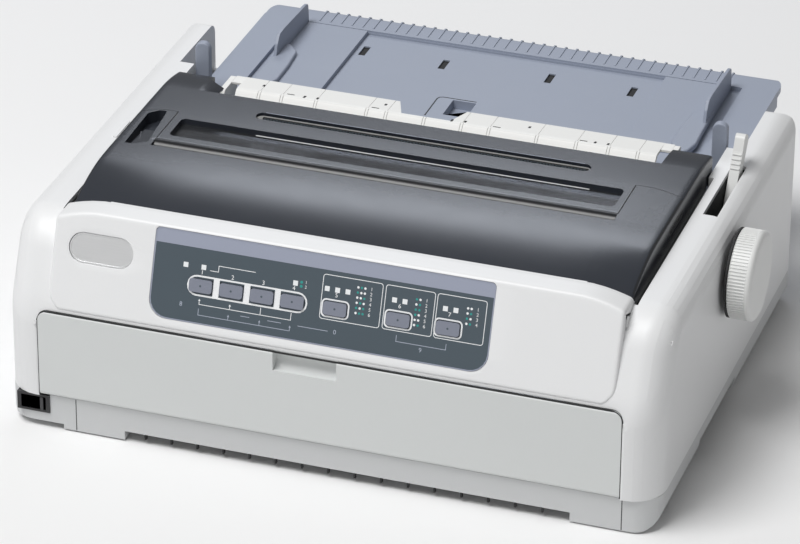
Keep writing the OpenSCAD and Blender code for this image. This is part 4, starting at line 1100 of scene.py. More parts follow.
def make_cover():
    """The smoked cover: a thin shell over a grid of heights, and what sits in it."""
    xs, ys = cover_grid()
    points = [(x, y, cover_height(x, y)) for y in ys for x in xs]
    faces = []
    n = len(xs)
    for j in range(len(ys) - 1):
        left = ARM_LEFT if ys[j] < ARM_Y else ARM_LEFT_BACK
        for i in range(n - 1):
            middle = (xs[i] + xs[i + 1]) / 2
            if ys[j] > COVER_MID_BACK + 0.2 and left < middle < ARM_RIGHT:
                continue
            faces.append((j * n + i, j * n + i + 1, (j + 1) * n + i + 1, (j + 1) * n + i))
    piece = walled("access_cover_skin", Form().add(points, faces), COVER_WALL)
    glass = plate_outline((GLASS_X[0], GLASS_Y[0]), (GLASS_X[1], GLASS_Y[1]), 3.5)
    tear = plate_outline((TEAR_X[0], TEAR_Y[0]), (TEAR_X[1], TEAR_Y[1]), 4.5)
    cut(piece, [through_cover(outline) for outline in (glass, tear, pocket_outline(0))])
    settle(piece, "cover", "cover", ("access_cover",), angle=32)

    lugs = Form()
    y, z = COVER_HINGE
    low, high = z - 5, 140.5
    for side in (-1, 1):
        lugs.side_prism(side, rounded([(y - 7, high, 0), (y - 6, low, 4.4), (y + 3.8, low, 4.4),
                                       (y + 3.8, high, 0)]), COVER_HALF - 2.8, COVER_HALF - 0.1)
        lugs.bar((y, z), 2.5, *sorted((side * (COVER_HALF - 1), side * 188.8)))
    build("cover_hinge_lugs", lugs, "cover", "cover", edge=0.3)
    make_nose()
    make_window()
    make_pocket()
    make_tear_slot()


def make_nose():
    """The rolled lip along the front of the insert, which is the cover's own plastic coloured near
    black as painted shade, the fine seams with a painted shade line along each shoulder's crease,
    and the side latches.
    """
    y0, y1 = NOSE
    left, right = INSERT_X
    low = COVER_TOP - NOSE_DROP
    outline = [(y1 - (y1 - y0) * math.cos(math.radians(t)),
                low + 5.06 * math.sin(math.radians(t)) + 0.05) for t in QUARTER]
    outline += [(y1, COVER_TOP - 1), (y0 + 1.5, low)]
    nose = Form().prism(outline, left + 0.3, right - 0.3)
    nose.box((left + 0.2, INSERT_FRONT + 0.1, low), (right - 0.2, y0 + 0.2, low + 0.2))
    build("cover_nose", nose, "nose", "cover", angle=40)

    seams = Form(on_cover)
    for x in INSERT_X:
        seams.stroke([(x, INSERT_FRONT + 3.1 * i) for i in range(17)], 0.75, lift=0.05, thick=0.3)
    seams.stroke([(left + 0.4 + i * 10.36, y1 + 0.3) for i in range(31)], 0.6, lift=0.07, thick=0.3)
    for side, start in ((1, right), (-1, -left)):
        curve = [(side * (start + (183.6 - start) * i / 10),
                  166.2 + 1.2 * math.sin(i * 0.3) - 7.4 * (i / 10) ** 2) for i in range(11)]
        seams.stroke(curve, 0.4, lift=0.04, thick=0.2)
        # painted shade: a dark line along the crease of each shoulder, where the rolled edge looks
        # dark
        edge = [(side * (COVER_HALF - 0.9), 45 + 4.0 * i) for i in range(29)]
        seams.stroke(edge, 0.8, lift=0.06, thick=0.3)
    build("cover_seams_and_crease_shade", seams, "shadow", "cover")

    pills = Form()
    rims = Form()
    for side in (-1, 1):
        pills.side_prism(side, plate_outline((127.0, 143.6), (156.0, 147.6), 1.9),
                         COVER_HALF - 0.3, COVER_HALF + 0.12)
        rims.side_prism(side, plate_outline((125.6, 142.6), (157.4, 148.6), 2.9),
                        COVER_HALF - 0.3, COVER_HALF + 0.06)
    build("cover_side_pills", pills, "clear", "cover")
    build("cover_pill_rims", rims, "black", "cover")


def pocket_outline(g):
    """Finger pocket in the left shoulder of the cover."""
    return rounded([(-177.4 - g, 114 - g, 1.2), (-178.4 - g, 158, 6), (-172.5, 164.4 + g, 5),
                    (-167.4 + g, 164.8 + g, 2), (-163.4 + g, 120 - g, 2), (-172, 114.4 - g, 4)])


def glass_outline(grow, radius):
    """The window's outline, grown on every side."""
    return plate_outline((GLASS_X[0] - grow, GLASS_Y[0] - grow),
                         (GLASS_X[1] + grow, GLASS_Y[1] + grow), radius)


def make_window():
    """Sunken frame round the window, with its pane and a painted highlight along its rear edge."""
    top = COVER_TOP + 0.05
    surround = ring_wall(Form(), glass_outline(1.6, 4.8), glass_outline(-0.02, 3.5),
                         top - 6.2, top - 1.9)
    build("window_frame", surround, "cover", "cover")
    pane = Form().prism(glass_outline(1, 4), top - 5.2, top - 3.7, "z")
    build("window_pane", pane, "pane", "cover", ("cover_window",))
    # painted highlight: a white strip along the pane's rear edge
    trim = Form().box((-103.0, GLASS_Y[1] - 0.75, top - 3.8), (123.2, GLASS_Y[1] - 0.2, top - 3.35))
    build("window_painted_highlight", trim, "ink", "cover")


def ring_wall(form, outer, inner, low, high):
    """A wall between two outlines with the same number of points."""
    n = len(outer)
    points = [(*p, z) for z in (low, high) for loop in (outer, inner) for p in loop]
    faces = []
    for i in range(n):
        j = (i + 1) % n
        faces += [(i, j, 2 * n + j, 2 * n + i), (n + i, 3 * n + i, 3 * n + j, n + j),
                  (2 * n + i, 2 * n + j, 3 * n + j, 3 * n + i), (i, n + i, n + j, j)]
    return form.add(points, faces)


def make_pocket():
    """Walls, stepped floor and webs of the finger pocket."""
    top = COVER_TOP
    tub = ring_wall(Form(), pocket_outline(1.2), pocket_outline(0.02), 144.6, top - 1.6)
    front, back = 112.5, 166.5
    floor = [(front, top - 0.5), (119, top - 1.0), (140.5, top - 2.6), (141.5, top - 5.0),
             (back, top - 7.6), (back, top - 9.0), (front, top - 9.0)]
    slope = [(front, top - 3.5), (back, top - 8.4), (back, top - 9.2), (front, top - 9.2)]
    web = [(-174.2, 134.5), (-173.5, 134.9), (-169.3, 118.7), (-170.0, 118.4)]
    tub.prism(floor, -173.6, -163.0)
    tub.prism(slope, -178.6, -173.5)
    tub.prism(web, top - 6, top - 1.3, "z")
    build("cover_pocket", tub, "cover", "cover", edge=0.12)


def make_tear_slot():
    """Saw-toothed strips along both edges of the paper slot in the cover; the front teeth and a
    line along the back edge are pale as painted highlight.
    """
    z = COVER_TOP - 2.0
    left, right = TEAR_X
    front, back = TEAR_Y
    strip = Form()
    for y0, y1 in ((front - 0.8, front + 0.9), (back - 1.1, back + 0.8)):
        strip.box((left + 3, y0, z - 3.0), (right - 3, y1, z - 1.2))
    build("tear_strip", strip, "black", "cover", edge=0.1)
    pitch = 2.1
    count = int((right - left - 8) / pitch)
    x = left + 4
    # painted highlight: the front teeth are pale where they catch the light
    for name, y, point, top, finish in (("tear_teeth", front + 0.8, 2.2, z - 1.1, "faint"),
                                        ("tear_back_teeth", back - 1.0, -1.4, z - 1.2, "panel")):
        tooth = [(x, y), (x + pitch * 0.85, y), (x + pitch * 0.42, y + point)]
        in_row(name, Form().prism(tooth, z - 2.2, top, "z"), count, (pitch * MM, 0, 0),
               finish, "cover", "smoke", angle=20)
    # painted highlight: a pale line along the slot's back edge
    line = Form(on_cover)
    line.stroke([(left + 5 + i * 10.9, back + 0.35) for i in range(21)], 0.35, lift=0.05, thick=0.2)
    build("tear_edge_highlight", line, "faint", "cover")


# ---------------------------------------------------------------- control panel

# print lies a hair above the panel's film, and its blocks reach a little into it
PRINT_TOP = 0.06
PRINT_LOW = -0.2
DIGIT_LIFT = 0.07
# steps between the dots of a lamp table, across and down
LAMP_PITCH = (2.3, 3.25)
# places up the brow of the brackets and of the words below the keys
WHITE_BRACKET = 15.2
PALE_BRACKET = 8.4
PALE_WORDS = 12.4
FILM_EDGE = 0.3


def box_line(form, lo, hi, r, width):
    """A line along a rounded rectangle."""
    form.stroke(plate_outline(lo, hi, r, 4), width, closed=True)


def disc(centre, radius):
    """A small eleven-sided disc."""
    return arc(centre, radius, 0, 330, 11)


def digit_mesh(text, x, s, size):
    """A plain number laid on the brow, as points and faces in brow millimetres."""
    curve = bpy.data.curves.new("digit", "FONT")
    curve.body = text
    curve.size = size
    curve.align_x = "CENTER"
    curve.align_y = "CENTER"
    holder = new_object("digit", curve)
    bpy.context.view_layer.update()
    mesh = holder.evaluated_get(bpy.context.evaluated_depsgraph_get()).to_mesh()
    points = [(x + v.co.x, s + v.co.y, DIGIT_LIFT) for v in mesh.vertices]
    faces = [tuple(p.vertices) for p in mesh.polygons]
    holder.to_mesh_clear()
    bpy.data.objects.remove(holder)
    return points, faces


def add_digits(form, labels, size):
    """Adds (text, x, s) numbers to a form."""
    for text, x, s in labels:
        form.add(*digit_mesh(text, x, s, size))


def film_outline(low, low_radius, top_radius):
    """The panel film's outline, a little inside its edge, from a height up the brow."""
    left, right, top = PANEL_LO[0] + FILM_EDGE, PANEL_HI[0] - FILM_EDGE, PANEL_HI[1] - FILM_EDGE
    return rounded([(left, low, low_radius), (right, low, low_radius),
                    (right, top, top_radius), (left, top, top_radius)])


def make_panel():
    """The control panel's film, print, keys and lamps, and the badge plate."""
    dressed("panel_overlay", "panel", edge=0.0)
    band = Form(on_brow).prism(film_outline(BAND_LOW, 0, 2.8), -0.4, 0.05, "z")
    build("panel_band", band, "band", "printer")
    rim = Form(on_brow)
    rim.stroke(film_outline(PANEL_LO[1] + FILM_EDGE, 11.7, 2.7), 0.7, lift=0.16, thick=0.3,
               closed=True)
    build("panel_rim", rim, "band", "printer")
    make_white_print()
    make_pale_print()
    make_lamp_print()
    dressed("led_lenses", "lens", edge=0.12)
    for i, x in enumerate(KEYS):
        dressed(f"key_{i + 1}", "key", edge=0.3)
        dot = Form(on_brow).prism(disc((x, KEY_ROW), 0.7), 1.0, 1.32, "z")
        build(f"key_{i + 1}_dot", dot, "panel", f"button_{i + 1}")
    dressed("badge_plate", "silver", edge=0.25)
    ring = Form(on_brow)
    half = (BADGE_SIZE[0] / 2, BADGE_SIZE[1] / 2)
    outline = plate_outline((BADGE[0] - half[0] + 0.5, BADGE[1] - half[1] + 0.5),
                            (BADGE[0] + half[0] - 0.5, BADGE[1] + half[1] - 0.5),
                            half[1] - 0.7, 10)
    ring.stroke(outline, 1.0, lift=-0.2, thick=1.0, closed=True)
    build("badge_ring", ring, "silver", "printer", edge=0.2)
    paint(("panel_board",), "board")


def arrow(form, x, s, half, low, high):
    """A small arrowhead that points up the brow at (x, s)."""
    form.prism([(x - half, s + low), (x + half, s + low), (x, s + high)],
               PRINT_LOW, PRINT_TOP, "z")


def make_white_print():
    """White outlines round the keys and lamp tables, the lines between them and key numbers."""
    white = Form(on_brow)
    # one outline round the four keys on the left, with white between the keys
    box_line(white, (-94.6, 20.9), (-15.8, 33.1), 5.8, 1.1)
    for a, b in zip(KEYS[:3], KEYS[1:4]):
        white.box((a + 8.2, 21.4, -0.3), (b - 8.2, 32.6, 0.05))
    for x in KEYS[4:]:
        box_line(white, (x - 8.7, 21.6), (x + 8.7, 32.4), 2.6, 1.0)
    for left, low, right in ((-6.5, 19.8, 32.5), (34.6, 20.0, 66.6), (68.2, 20.0, 100.0)):
        box_line(white, (left, low), (right, 47.8), 1.6, 0.42)
    # the line from a lamp to the keys, and the bracket below the four keys
    first, second, third, fourth = KEYS[:4]
    row = WHITE_BRACKET
    for line in (((-81, 37.6), (-75.4, 37.6), (-75.4, 41.4), (-51, 41.4)),
                 ((first, 17.6), (first, row), (fourth, row), (fourth, 19.8)),
                 ((second, row), (second, 17.4)), ((third, row), (third, 19.8))):
        white.stroke(line, 0.4)
    for x, s in ((first, 17.8), (second, 17.6)):
        arrow(white, x, s, 0.8, -0.4, 0.9)
    # plain numbers in place of names
    add_digits(white, [(str(i + 1), x, 35.6) for i, x in enumerate(KEYS)], 3.9)
    build("panel_print_white", white, "ink", "printer", angle=20)


def make_pale_print():
    """Pale brackets under the keys, with their arrows and numbers."""
    pale = Form(on_brow)
    first, third, fourth = KEYS[0], KEYS[2], KEYS[3]
    bracket, words = PALE_BRACKET, PALE_WORDS
    stem = -66
    for line in (((first, words), (first, bracket), (fourth, bracket), (fourth, 11.0)),
                 ((third, bracket), (third, 10.6)), ((stem, bracket), (stem, 10.6)),
                 ((-58, words), (-52, words)), ((-40, words), (-31, words)),
                 ((-20, words), (0, words)),
                 ((KEYS[5], 17.4), (KEYS[5], 13.4), (KEYS[6], 13.4), (KEYS[6], 17.2))):
        pale.stroke(line, 0.36)
    for x in (stem, third, fourth):
        arrow(pale, x, bracket, 0.7, 2.0, 3.4)
    add_digits(pale, [("8", -98, 13.6), ("9", 60.7, 10.4), ("0", 4.5, words)], 4.0)
    build("panel_print_pale", pale, "faint", "printer", angle=20)


def make_lamp_print():
    """The lamp tables: rows of teal and white dots with a number beside each row."""
    teal = Form(on_brow)
    white = Form(on_brow)
    across, down = LAMP_PITCH
    # each table: its first dot, its rows and columns, and which of its diagonals are white
    tables = ((16.6, 43.0, 6, 3, 0b101101), (55.0, 41.8, 6, 2, 0b110010),
              (88.2, 41.6, 4, 2, 0b1011))
    for x, s, rows, columns, pattern in tables:
        for row in range(rows):
            for column in range(columns):
                target = white if (pattern >> (row + column)) & 1 else teal
                target.prism(disc((x + column * across, s - row * down), 0.78),
                             PRINT_LOW, PRINT_TOP, "z")
        add_digits(white, [(str(row + 1), x + columns * across + 1.9, s - row * down)
                           for row in range(rows)], 3.1)
    for s in (40.2, 37.6):
        teal.prism(disc((-20.4, s), 0.95), PRINT_LOW, PRINT_TOP, "z")
    add_digits(white, [("1", -17.4, 40.4), ("2", -17.4, 37.4)], 2.7)
    build("panel_print_teal", teal, "teal", "printer", angle=20)
    build("panel_print_marks", white, "ink", "printer", angle=20)


# ---------------------------------------------------------------- front door and switch

def make_door():
    """The front door."""
    dressed("front_door", "door", edge=0.45, segments=3)


# the rocker's tilt, the Y of its pivot, and its two faces, which slope out from the middle
ROCKER_LEAN = math.radians(-8)
ROCKER_PIVOT_Y = 6.2
ROCKER_FACE = -3.2
ROCKER_SLOPE = 1.2 / 7.6


def make_switch():
    """The power switch, with a ring and a bar on its rocker."""
    dressed("switch_housing", "black", edge=0.3)
    dressed("switch_rocker", "rocker", edge=0.35)
    lo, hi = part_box("switch_rocker")
    middle = ((lo.x + hi.x) / 2 / MM - CASE_X, (lo.z + hi.z) / 2 / MM)
    c, n = math.cos(ROCKER_LEAN), math.sin(ROCKER_LEAN)

    def on_rocker(u, v, w):
        """Across the rocker, up and out of its two sloping faces."""
        y = ROCKER_FACE - abs(u) * ROCKER_SLOPE - w
        return (middle[0] + u * c - y * n, ROCKER_PIVOT_Y + u * n + y * c, middle[1] + v)

    marks = Form(on_rocker)
    marks.stroke(arc((-4.0, 0.6), 1.25, 0, 342, 19), 0.5, lift=0.12, thick=0.2, closed=True)
    marks.stroke([(3.9, -0.8), (3.9, 1.9)], 0.5, lift=0.03, thick=0.2)
    build("switch_marks", marks, "ink", "rocker")


# ---------------------------------------------------------------- tray, guides and ears

TRAY_BACK = 421.0
LIP_FRONT = 399.0
TRAY_SLOTS = ((-101.9, 370.0), (-43.2, 368.0), (32.1, 371.6), (91.3, 370.7))
SLOT_HALF = (2.4, 7.2)
FIELD_FLOOR = -3.0
LIP_HALF = 186
LIP_CORNER = 14
# well past the tray, for cutters
PAST_X = 190
PAST_Y = 425
UNDER = 90
OVER = 130


def make_tray():
    """The tray: its recessed field with four slots and a window, and a ribbed lip at the back."""
    z = TRAY_TOP
    lip_space = Form().box((-PAST_X, LIP_FRONT, UNDER), (PAST_X, PAST_Y, OVER))
    field_space = Form().box((-162, 284, z - 3.4), (162, 395.5, z + 6))
    u, v = SLOT_HALF
    slots = []
    floors = Form()
    for x, y in TRAY_SLOTS:
        slots.append(Form().box((x - u, y - v, z - 7), (x + u, y + v, z + 1)))
        floors.box((x - u - 1, y - v - 1, z - 4.9), (x + u + 1, y + v + 1, z - 4.3))
    ear_space = [Form().side_box(side, (170, 250, z + 0.02), (187, 283, 170)) for side in (-1, 1)]
    dressed("sheet_tray", "tray", edge=0.25, cutters=[lip_space, field_space, *slots, *ear_space])
    # painted shade: near black plates under the slots, where shade falls inside them
    build("tray_slot_painted_shade", floors, "shadow", "tray")
    # smooth floor of the field; the groove of the flap beside the window is drawn as a line of
    # painted shade
    window = Form().box((-20, 295, z - 9.5), (-3.5, 318, z))
    plate = Form().box((-161.9, 284.1, z - 3.38), (161.9, 395.4, z + FIELD_FLOOR))
    build("tray_field", plate, "tray", "tray", angle=30, cutters=[*slots, window])
    flap = Form(lambda x, y, h: (x, y, z + FIELD_FLOOR + h))
    flap.stroke([(-31, 286), (-31, 316.5), (-30, 319), (-27.5, 320), (-4, 320)], 0.9,
                lift=0.03, thick=0.2)
    build("tray_flap_shade_line", flap, "shadow", "tray")
    cup = Form().box((-21.5, 293.5, z - 10.5), (-2, 319.5, z - 4.02))
    build("tray_window_cup", cup, "tray", "tray", angle=40, cutters=[window])
    ears = Form()
    for side in (-1, 1):
        a, b = sorted((side * 175.6, side * 185.8))
        ears.prism(rounded([(a, z - 1, 0), (b, z - 1, 0), (b, 157, 4.8), (a, 157, 4.8)], 8),
                   262.5, 268.0, "y")
    build("tray_ears", ears, "tray", "tray", edge=0.9, segments=3)
    make_tray_lip()
    for side, name in ((-1, "left"), (1, "right")):
        make_paper_guide(side, name)


def make_tray_lip():
    """The lip that rolls over at the back of the tray, with rounded corners and ribs."""
    z = TRAY_TOP
    front, back = LIP_FRONT - 0.2, TRAY_BACK - 0.6
    inner = TRAY_BACK - 3.4
    lip = Form().prism(rounded([(front, z - 5.0, 0), (front, z - 0.6, 0), (back, z - 0.6, 9),
                                (back, z - 13, 0), (inner, z - 13, 0), (inner, z - 5.0, 5)], 8),
                       -LIP_HALF, LIP_HALF)
    turn_y = back - LIP_CORNER
    turn_x = LIP_HALF - LIP_CORNER
    corner = arc((turn_x, turn_y), LIP_CORNER, 0, 90, 8)
    corner += [(turn_x, PAST_Y), (PAST_X, PAST_Y), (PAST_X, turn_y)]
    corners = [Form().prism([(side * u, v) for u, v in corner], UNDER, OVER, "z")
               for side in (-1, 1)]
    build("tray_lip", lip, "tray", "tray", angle=40, cutters=corners)
    front, back = LIP_FRONT + 1.5, TRAY_BACK - 0.02
    inner = TRAY_BACK - 1.4
    rib = Form().prism(rounded([(front, z - 1.5, 0), (front, z, 0.5), (back, z, 9.3),
                                (back, z - 11, 0), (inner, z - 11, 0), (inner, z - 1.5, 8)], 8),
                       -146.5, -145.5)
    in_row("lip_ribs", rib, 38, (8 * MM, 0, 0), "tray", "tray", "tray_blue")


def make_paper_guide(side, name):
    """A sliding paper guide: its plate, a tall stepped fence and a flared wing at the front."""
    g = GUIDE_X
    z = TRAY_TOP - 1.35
    form = Form().side_box(side, (g - 44, 290, z - 1.9), (g + 2, 395, z + 1.6))
    fence = rounded([(329, z, 0), (329, 121, 2), (332, 129, 4), (337, 135, 4), (345, 135.5, 3),
                     (388, 133.6, 3), (394.6, 132.5, 3), (396, z, 0)])
    form.side_prism(side, fence, g, g + 2.2)
    build(f"paper_guide_{name}_skin", form, "tray", f"guide_{name}",
          (f"paper_guide_{name}",), edge=0.35)
    tongue = rounded([(150, 352, 3), (141.5, 342, 6), (139.7, 320, 12), (139.3, 296, 7),
                      (145, 286.5, 4), (153, 285.5, 4), (156, 299, 6), (155.3, 316, 8),
                      (154.5, 350, 2)])
    wing = Form().prism([(side * u, v) for u, v in tongue], z + 0.2, z + 4.8, "z")
    build(f"paper_guide_{name}_wing", wing, "tray", f"guide_{name}",
          edge=1.2, segments=3)


# ---------------------------------------------------------------- roller bar

# the grooves across the bar, and the gap in its flange
BAR_HALF = 146.0
BAR_GROOVES = (-129.5, -113.5, -89.5, -53.5, -40.0, -13.5, 12.5, 31.5, 64.5, 91.5, 113.5, 133.5)
BAR_GAP = (-31.0, 5.0)
FLANGE_FRONT = 237.6
FLANGE_BACK = 256
FLANGE_TOP = 141.35
FLANGE_SLOPE = 0.0516
FLANGE_THICK = 1.8
BAR_REAR_TOP = 140.4
GROOVE_GAP = 0.25
GROOVE_RIB = 0.8


def flange_height(y):
    """Height of the flange's top, which falls towards the back."""
    return FLANGE_TOP - (y - FLANGE_FRONT) * FLANGE_SLOPE


def make_roller_bar():
    """The white bar over the pull rollers: a rolled front, a flat flange, grooves across both."""
    front = rounded([(229, 124, 0), (229, 134, 9), (235.6, 141.2, 2.5), (238, 141.3, 0),
                     (238, 139.3, 0), (231.2, 133, 6), (231.2, 124, 0)], 7)
    flange = [(FLANGE_FRONT, FLANGE_TOP), (FLANGE_BACK, BAR_REAR_TOP),
              (FLANGE_BACK, BAR_REAR_TOP - FLANGE_THICK), (FLANGE_FRONT, 139.4)]
    gap, rib = GROOVE_GAP, GROOVE_RIB
    end = BAR_HALF - 0.3
    bar = Form()
    edges = [-BAR_HALF, *BAR_GROOVES, BAR_HALF]
    for i, (a, b) in enumerate(zip(edges, edges[1:])):
        first, last = i == 0, i == len(edges) - 2
        bar.prism(front, a + (0 if first else rib + gap), b - (0 if last else rib + gap))
        slant_flange(bar, flange, a + (0 if first else gap / 2), b - (0 if last else gap / 2))
    for x in BAR_GROOVES:
        bar.prism(front, x - rib, x + rib)
    bar.prism(front_core(), -end, end)
    for a, b in ((-end, BAR_GAP[0] - 7), (BAR_GAP[1] + 7, end)):
        bar.prism([(237, 140.9), (255.5, 140.0), (255.5, 138.7), (237, 139.5)], a, b)
    build("guide_bar_skin", bar, "bar", "printer", ("guide_bar",), edge=0.16)

    brackets = Form()
    cheek = rounded([(227.5, 112, 3), (227.5, 136, 4), (234, BAR_REAR_TOP, 3),
                     (FLANGE_BACK, BAR_REAR_TOP, 2), (FLANGE_BACK, 112, 3)])
    for side in (-1, 1):
        brackets.side_prism(side, cheek, 153, 157)
        brackets.side_box(side, (144, 246, 138.5), (153.1, FLANGE_BACK, BAR_REAR_TOP))
        brackets.side_box(side, (157, 246, 115), (175, 249, 118))
    build("bar_brackets", brackets, "bar", "printer", edge=0.4)

    # painted shade: near black insets standing for the holes and slots in the flange
    holes = Form()
    for x, y in ((-130.3, 246.2), (-98.7, 238.9), (-89.8, 239.5), (-44.2, 246.5), (4.8, 238.8),
                 (13.6, 239.6), (55.9, 246.7), (103.1, 239.3), (111.8, 239.8)):
        slot = [(x - 0.9, y - 1.6), (x + 0.7, y - 1.6), (x + 1.0, y + 1.6), (x - 0.6, y + 1.6)]
        holes.prism(slot, flange_height(y) - 0.6, flange_height(y) + 0.05, "z")
    for x in (-108.5, -48.9, 35.6, 95.2):
        holes.box((x - 2.6, 238.9, 140.8), (x + 2.6, 239.8, 141.33))
    build("bar_hole_shade", holes, "shadow", "printer")


def slant_flange(form, outline, lo, hi):
    """A length of flange; the ends beside the middle gap slope back."""
    if hi <= BAR_GAP[0] or lo >= BAR_GAP[1]:
        form.prism(outline, lo, hi)
        return
    if lo < BAR_GAP[0]:
        tapered(form, [(lo, FLANGE_FRONT), (BAR_GAP[0] + 1, FLANGE_FRONT),
                       (BAR_GAP[0] - 6, FLANGE_BACK), (lo, FLANGE_BACK)])
    if hi > BAR_GAP[1]:
        tapered(form, [(BAR_GAP[1] - 1, FLANGE_FRONT), (hi, FLANGE_FRONT),
                       (hi, FLANGE_BACK), (BAR_GAP[1] + 5, FLANGE_BACK)])


def tapered(form, points):
    """A four-cornered piece of flange under its sloping top."""
    top = [(x, y, flange_height(y)) for x, y in points]
    low = [(x, y, z - FLANGE_THICK) for x, y, z in top]
    form.add(top + low, [(0, 1, 2, 3), (4, 5, 6, 7), (0, 1, 5, 4), (1, 2, 6, 5), (2, 3, 7, 6),
                         (3, 0, 4, 7)])


def front_core():
    """The bar's own front under its ribs and grooves."""
    return rounded([(229.7, 124.2, 0), (229.7, 133.8, 8.4), (236, 140.5, 3), (238, 140.5, 0),
                    (238, 139.4, 0), (231, 133, 6), (231, 124.2, 0)], 7)


# ---------------------------------------------------------------- knob and lever

KNOB_STEPS = 96


def make_knob_gap():
    """A ring of painted shade in the gap between the knob and the casing."""
    lo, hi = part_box("platen_knob")
    radius = (hi.z - lo.z) / 2 / MM - 0.3
    ring = Form().bar(PLATEN_AXIS, radius, KNOB_X[0] - 0.9, KNOB_X[0] + 0.2, 64)
    body = frame["nodes"]["platen_knob"]["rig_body"]
    build("knob_gap_shade", ring, "shadow", body)


def make_knob(look):
    """The platen knob: a fine-ribbed rim between two smooth bands, and a plain dished face."""
    y, z = PLATEN_AXIS
    radius = look.knob_radius / MM
    band = radius - 0.7
    a, b = KNOB_X
    # (x, distance from the axle) round half of the knob
    profile = [(a, 5.2), (a, radius - 3.2), (a + 0.6, radius - 1.6), (a + 1.6, band),
               (b - 4.4, band), (b - 4.0, radius), (b - 2.6, radius), (b - 1.4, band),
               (b - 0.5, radius - 2.2), (b - 0.15, radius - 4), (b - 0.1, radius - 12), (b, 8),
               (b, 0.01), (b - 2.4, 0.01), (b - 2.4, 5.2)]
    n = len(profile)
    points = []
    for i in range(KNOB_STEPS):
        t = 2 * math.pi * i / KNOB_STEPS
        points += [(x, y + r * math.cos(t), z + r * math.sin(t)) for x, r in profile]
    faces = [(i * n + j, i * n + (j + 1) % n,
              (i + 1) % KNOB_STEPS * n + (j + 1) % n, (i + 1) % KNOB_STEPS * n + j)
             for i in range(KNOB_STEPS) for j in range(n)]
    build("platen_knob_skin", Form().add(points, faces), "knob", "platen",
          ("platen_knob",), angle=40)
    # one rib, drawn about an axle through the casing's origin and then set on the knob's own axle
    half = math.pi * radius / look.knob_ribs * 0.5
    rib = Form()
    rib.prism([(-half, radius - 1.2), (-half * 0.45, radius - 0.12),
               (half * 0.45, radius - 0.12), (half, radius - 1.2)], a + 1.2, b - 4.2, "x")
    root = place((0, 0, 0))
    rib.points = [Vector((p.x, p.y - root.y, p.z - root.z)) for p in rib.points]
    axle = place((0, y, z))
    values = {"Count": look.knob_ribs, "Axle": (0.0, axle.y, axle.z)}
    repeated("knob_ribs", rib, ring_tree(), values, "knob", "platen", "off_white", angle=25)


def make_lever():
    """The paper lever with grip ribs, and the dark liner of its slot."""
    dressed("paper_lever", "knob", edge=0.5, segments=3)
    grip = Form(on_lever)
    grip.prism([(-5.1, 61.0), (-5.75, 61.5), (-5.75, 62.0), (-5.1, 62.5)],
               LEVER_X[0] + 0.3, LEVER_X[1] - 0.3, "x")
    step = place(on_lever(0, 0, 3.1)) - place(on_lever(0, 0, 0))
    in_row("lever_grip", grip, 4, tuple(step), "knob", "lever", "off_white")
    liner = Form()
    low, high = 112, 138.2
    left, right, front, back = 196.05, 205.35, 167.4, 239.6
    for lo, hi in (((left, front), (196.5, back)), ((204.9, front), (right, back)),
                   ((left, front), (right, 167.9)), ((left, 239.1), (right, back))):
        liner.box((*lo, low), (*hi, high))
    build("lever_slot_liner", liner, "fibre", "printer")


# ---------------------------------------------------------------- mechanism and electrics

def paint(nodes, finish):
    """Gives CAD nodes a finish and leaves their shape alone."""
    for node in nodes:
        data = frame["nodes"][node].data
        data.materials.clear()
        data.materials.append(FINISHES[finish])


def make_mechanism():
    """Skins for the larger moving pieces, and finishes for the other ones."""
    for node, finish, edge in (("tear_bar", "steel", 0), ("platen_roller", "rubber", 0.4),
                               ("ribbon_cartridge", "black", 0.5), ("print_head", "black", 0.3),
                               ("carriage", "black", 0.4), ("ribbon_knob", "knob", 0.4),
                               ("pull_roller", "knob", 0.0), ("tractor_left", "black", 0.4),
                               ("tractor_right", "black", 0.4),
                               ("tractor_door_left", "panel", 0.3),
                               ("tractor_door_right", "panel", 0.3),
                               ("paper_chute", "black", 0.2)):
        dressed(node, finish, edge=edge)
    paint(("chassis_plate", "side_frame_left", "side_frame_right", "guide_rail"), "zinc")
    paint(("platen_shaft", "carriage_shaft", "tractor_shaft", "tractor_rod", "feed_motor",
           "space_motor", "case_screws"), "steel")
    paint(("platen_gear", "platen_bushes", "feed_pinion", "feed_idler", "roller_idler",
           "drive_pulley", "idler_pulley"), "nylon")
    paint(("timing_belt",), "rubber")


def make_electrics():
    """The main board, the power supply and the sockets."""
    paint(("main_board",), "board")
    dressed("power_supply", "zinc", edge=0.3)
    dressed("power_inlet", "black", edge=0.3)
    dressed("interface_ports", "black", edge=0.3)


# ---------------------------------------------------------------- stage

def area_light(name, where, target, size, power, colour=(1, 1, 1)):
    """A rectangular light that points at a target and is not seen itself."""
    data = bpy.data.lights.new(name, "AREA")
    data.shape = "RECTANGLE"
    data.size, data.size_y = size
    data.energy = power
    data.color = colour
    lamp = bpy.data.objects.new(name, data)
    bpy.context.scene.collection.objects.link(lamp)
    lamp.location = where
    lamp.visible_camera = False
    lamp.rotation_euler = (Vector(target) - Vector(where)).to_track_quat("-Z", "Y").to_euler()
    return lamp


CAMERA_AZIMUTH = math.radians(18.573)
CAMERA_ELEVATION = math.radians(28.69)
CAMERA_ROLL = math.radians(0.425)
CAMERA_TARGET = (-0.78, 150.0, 72.0)
CAMERA_DISTANCE = 2902.0
CAMERA_LENS = 200.51
CAMERA_SENSOR = 36.0
CAMERA_REACH = 50.0
FLOOR_HALF = 6000
FLOOR_GREY = (0.86, 0.86, 0.86, 1)
FLOOR_SHEEN = 0.1
BACKDROP_LIGHT = 0.2


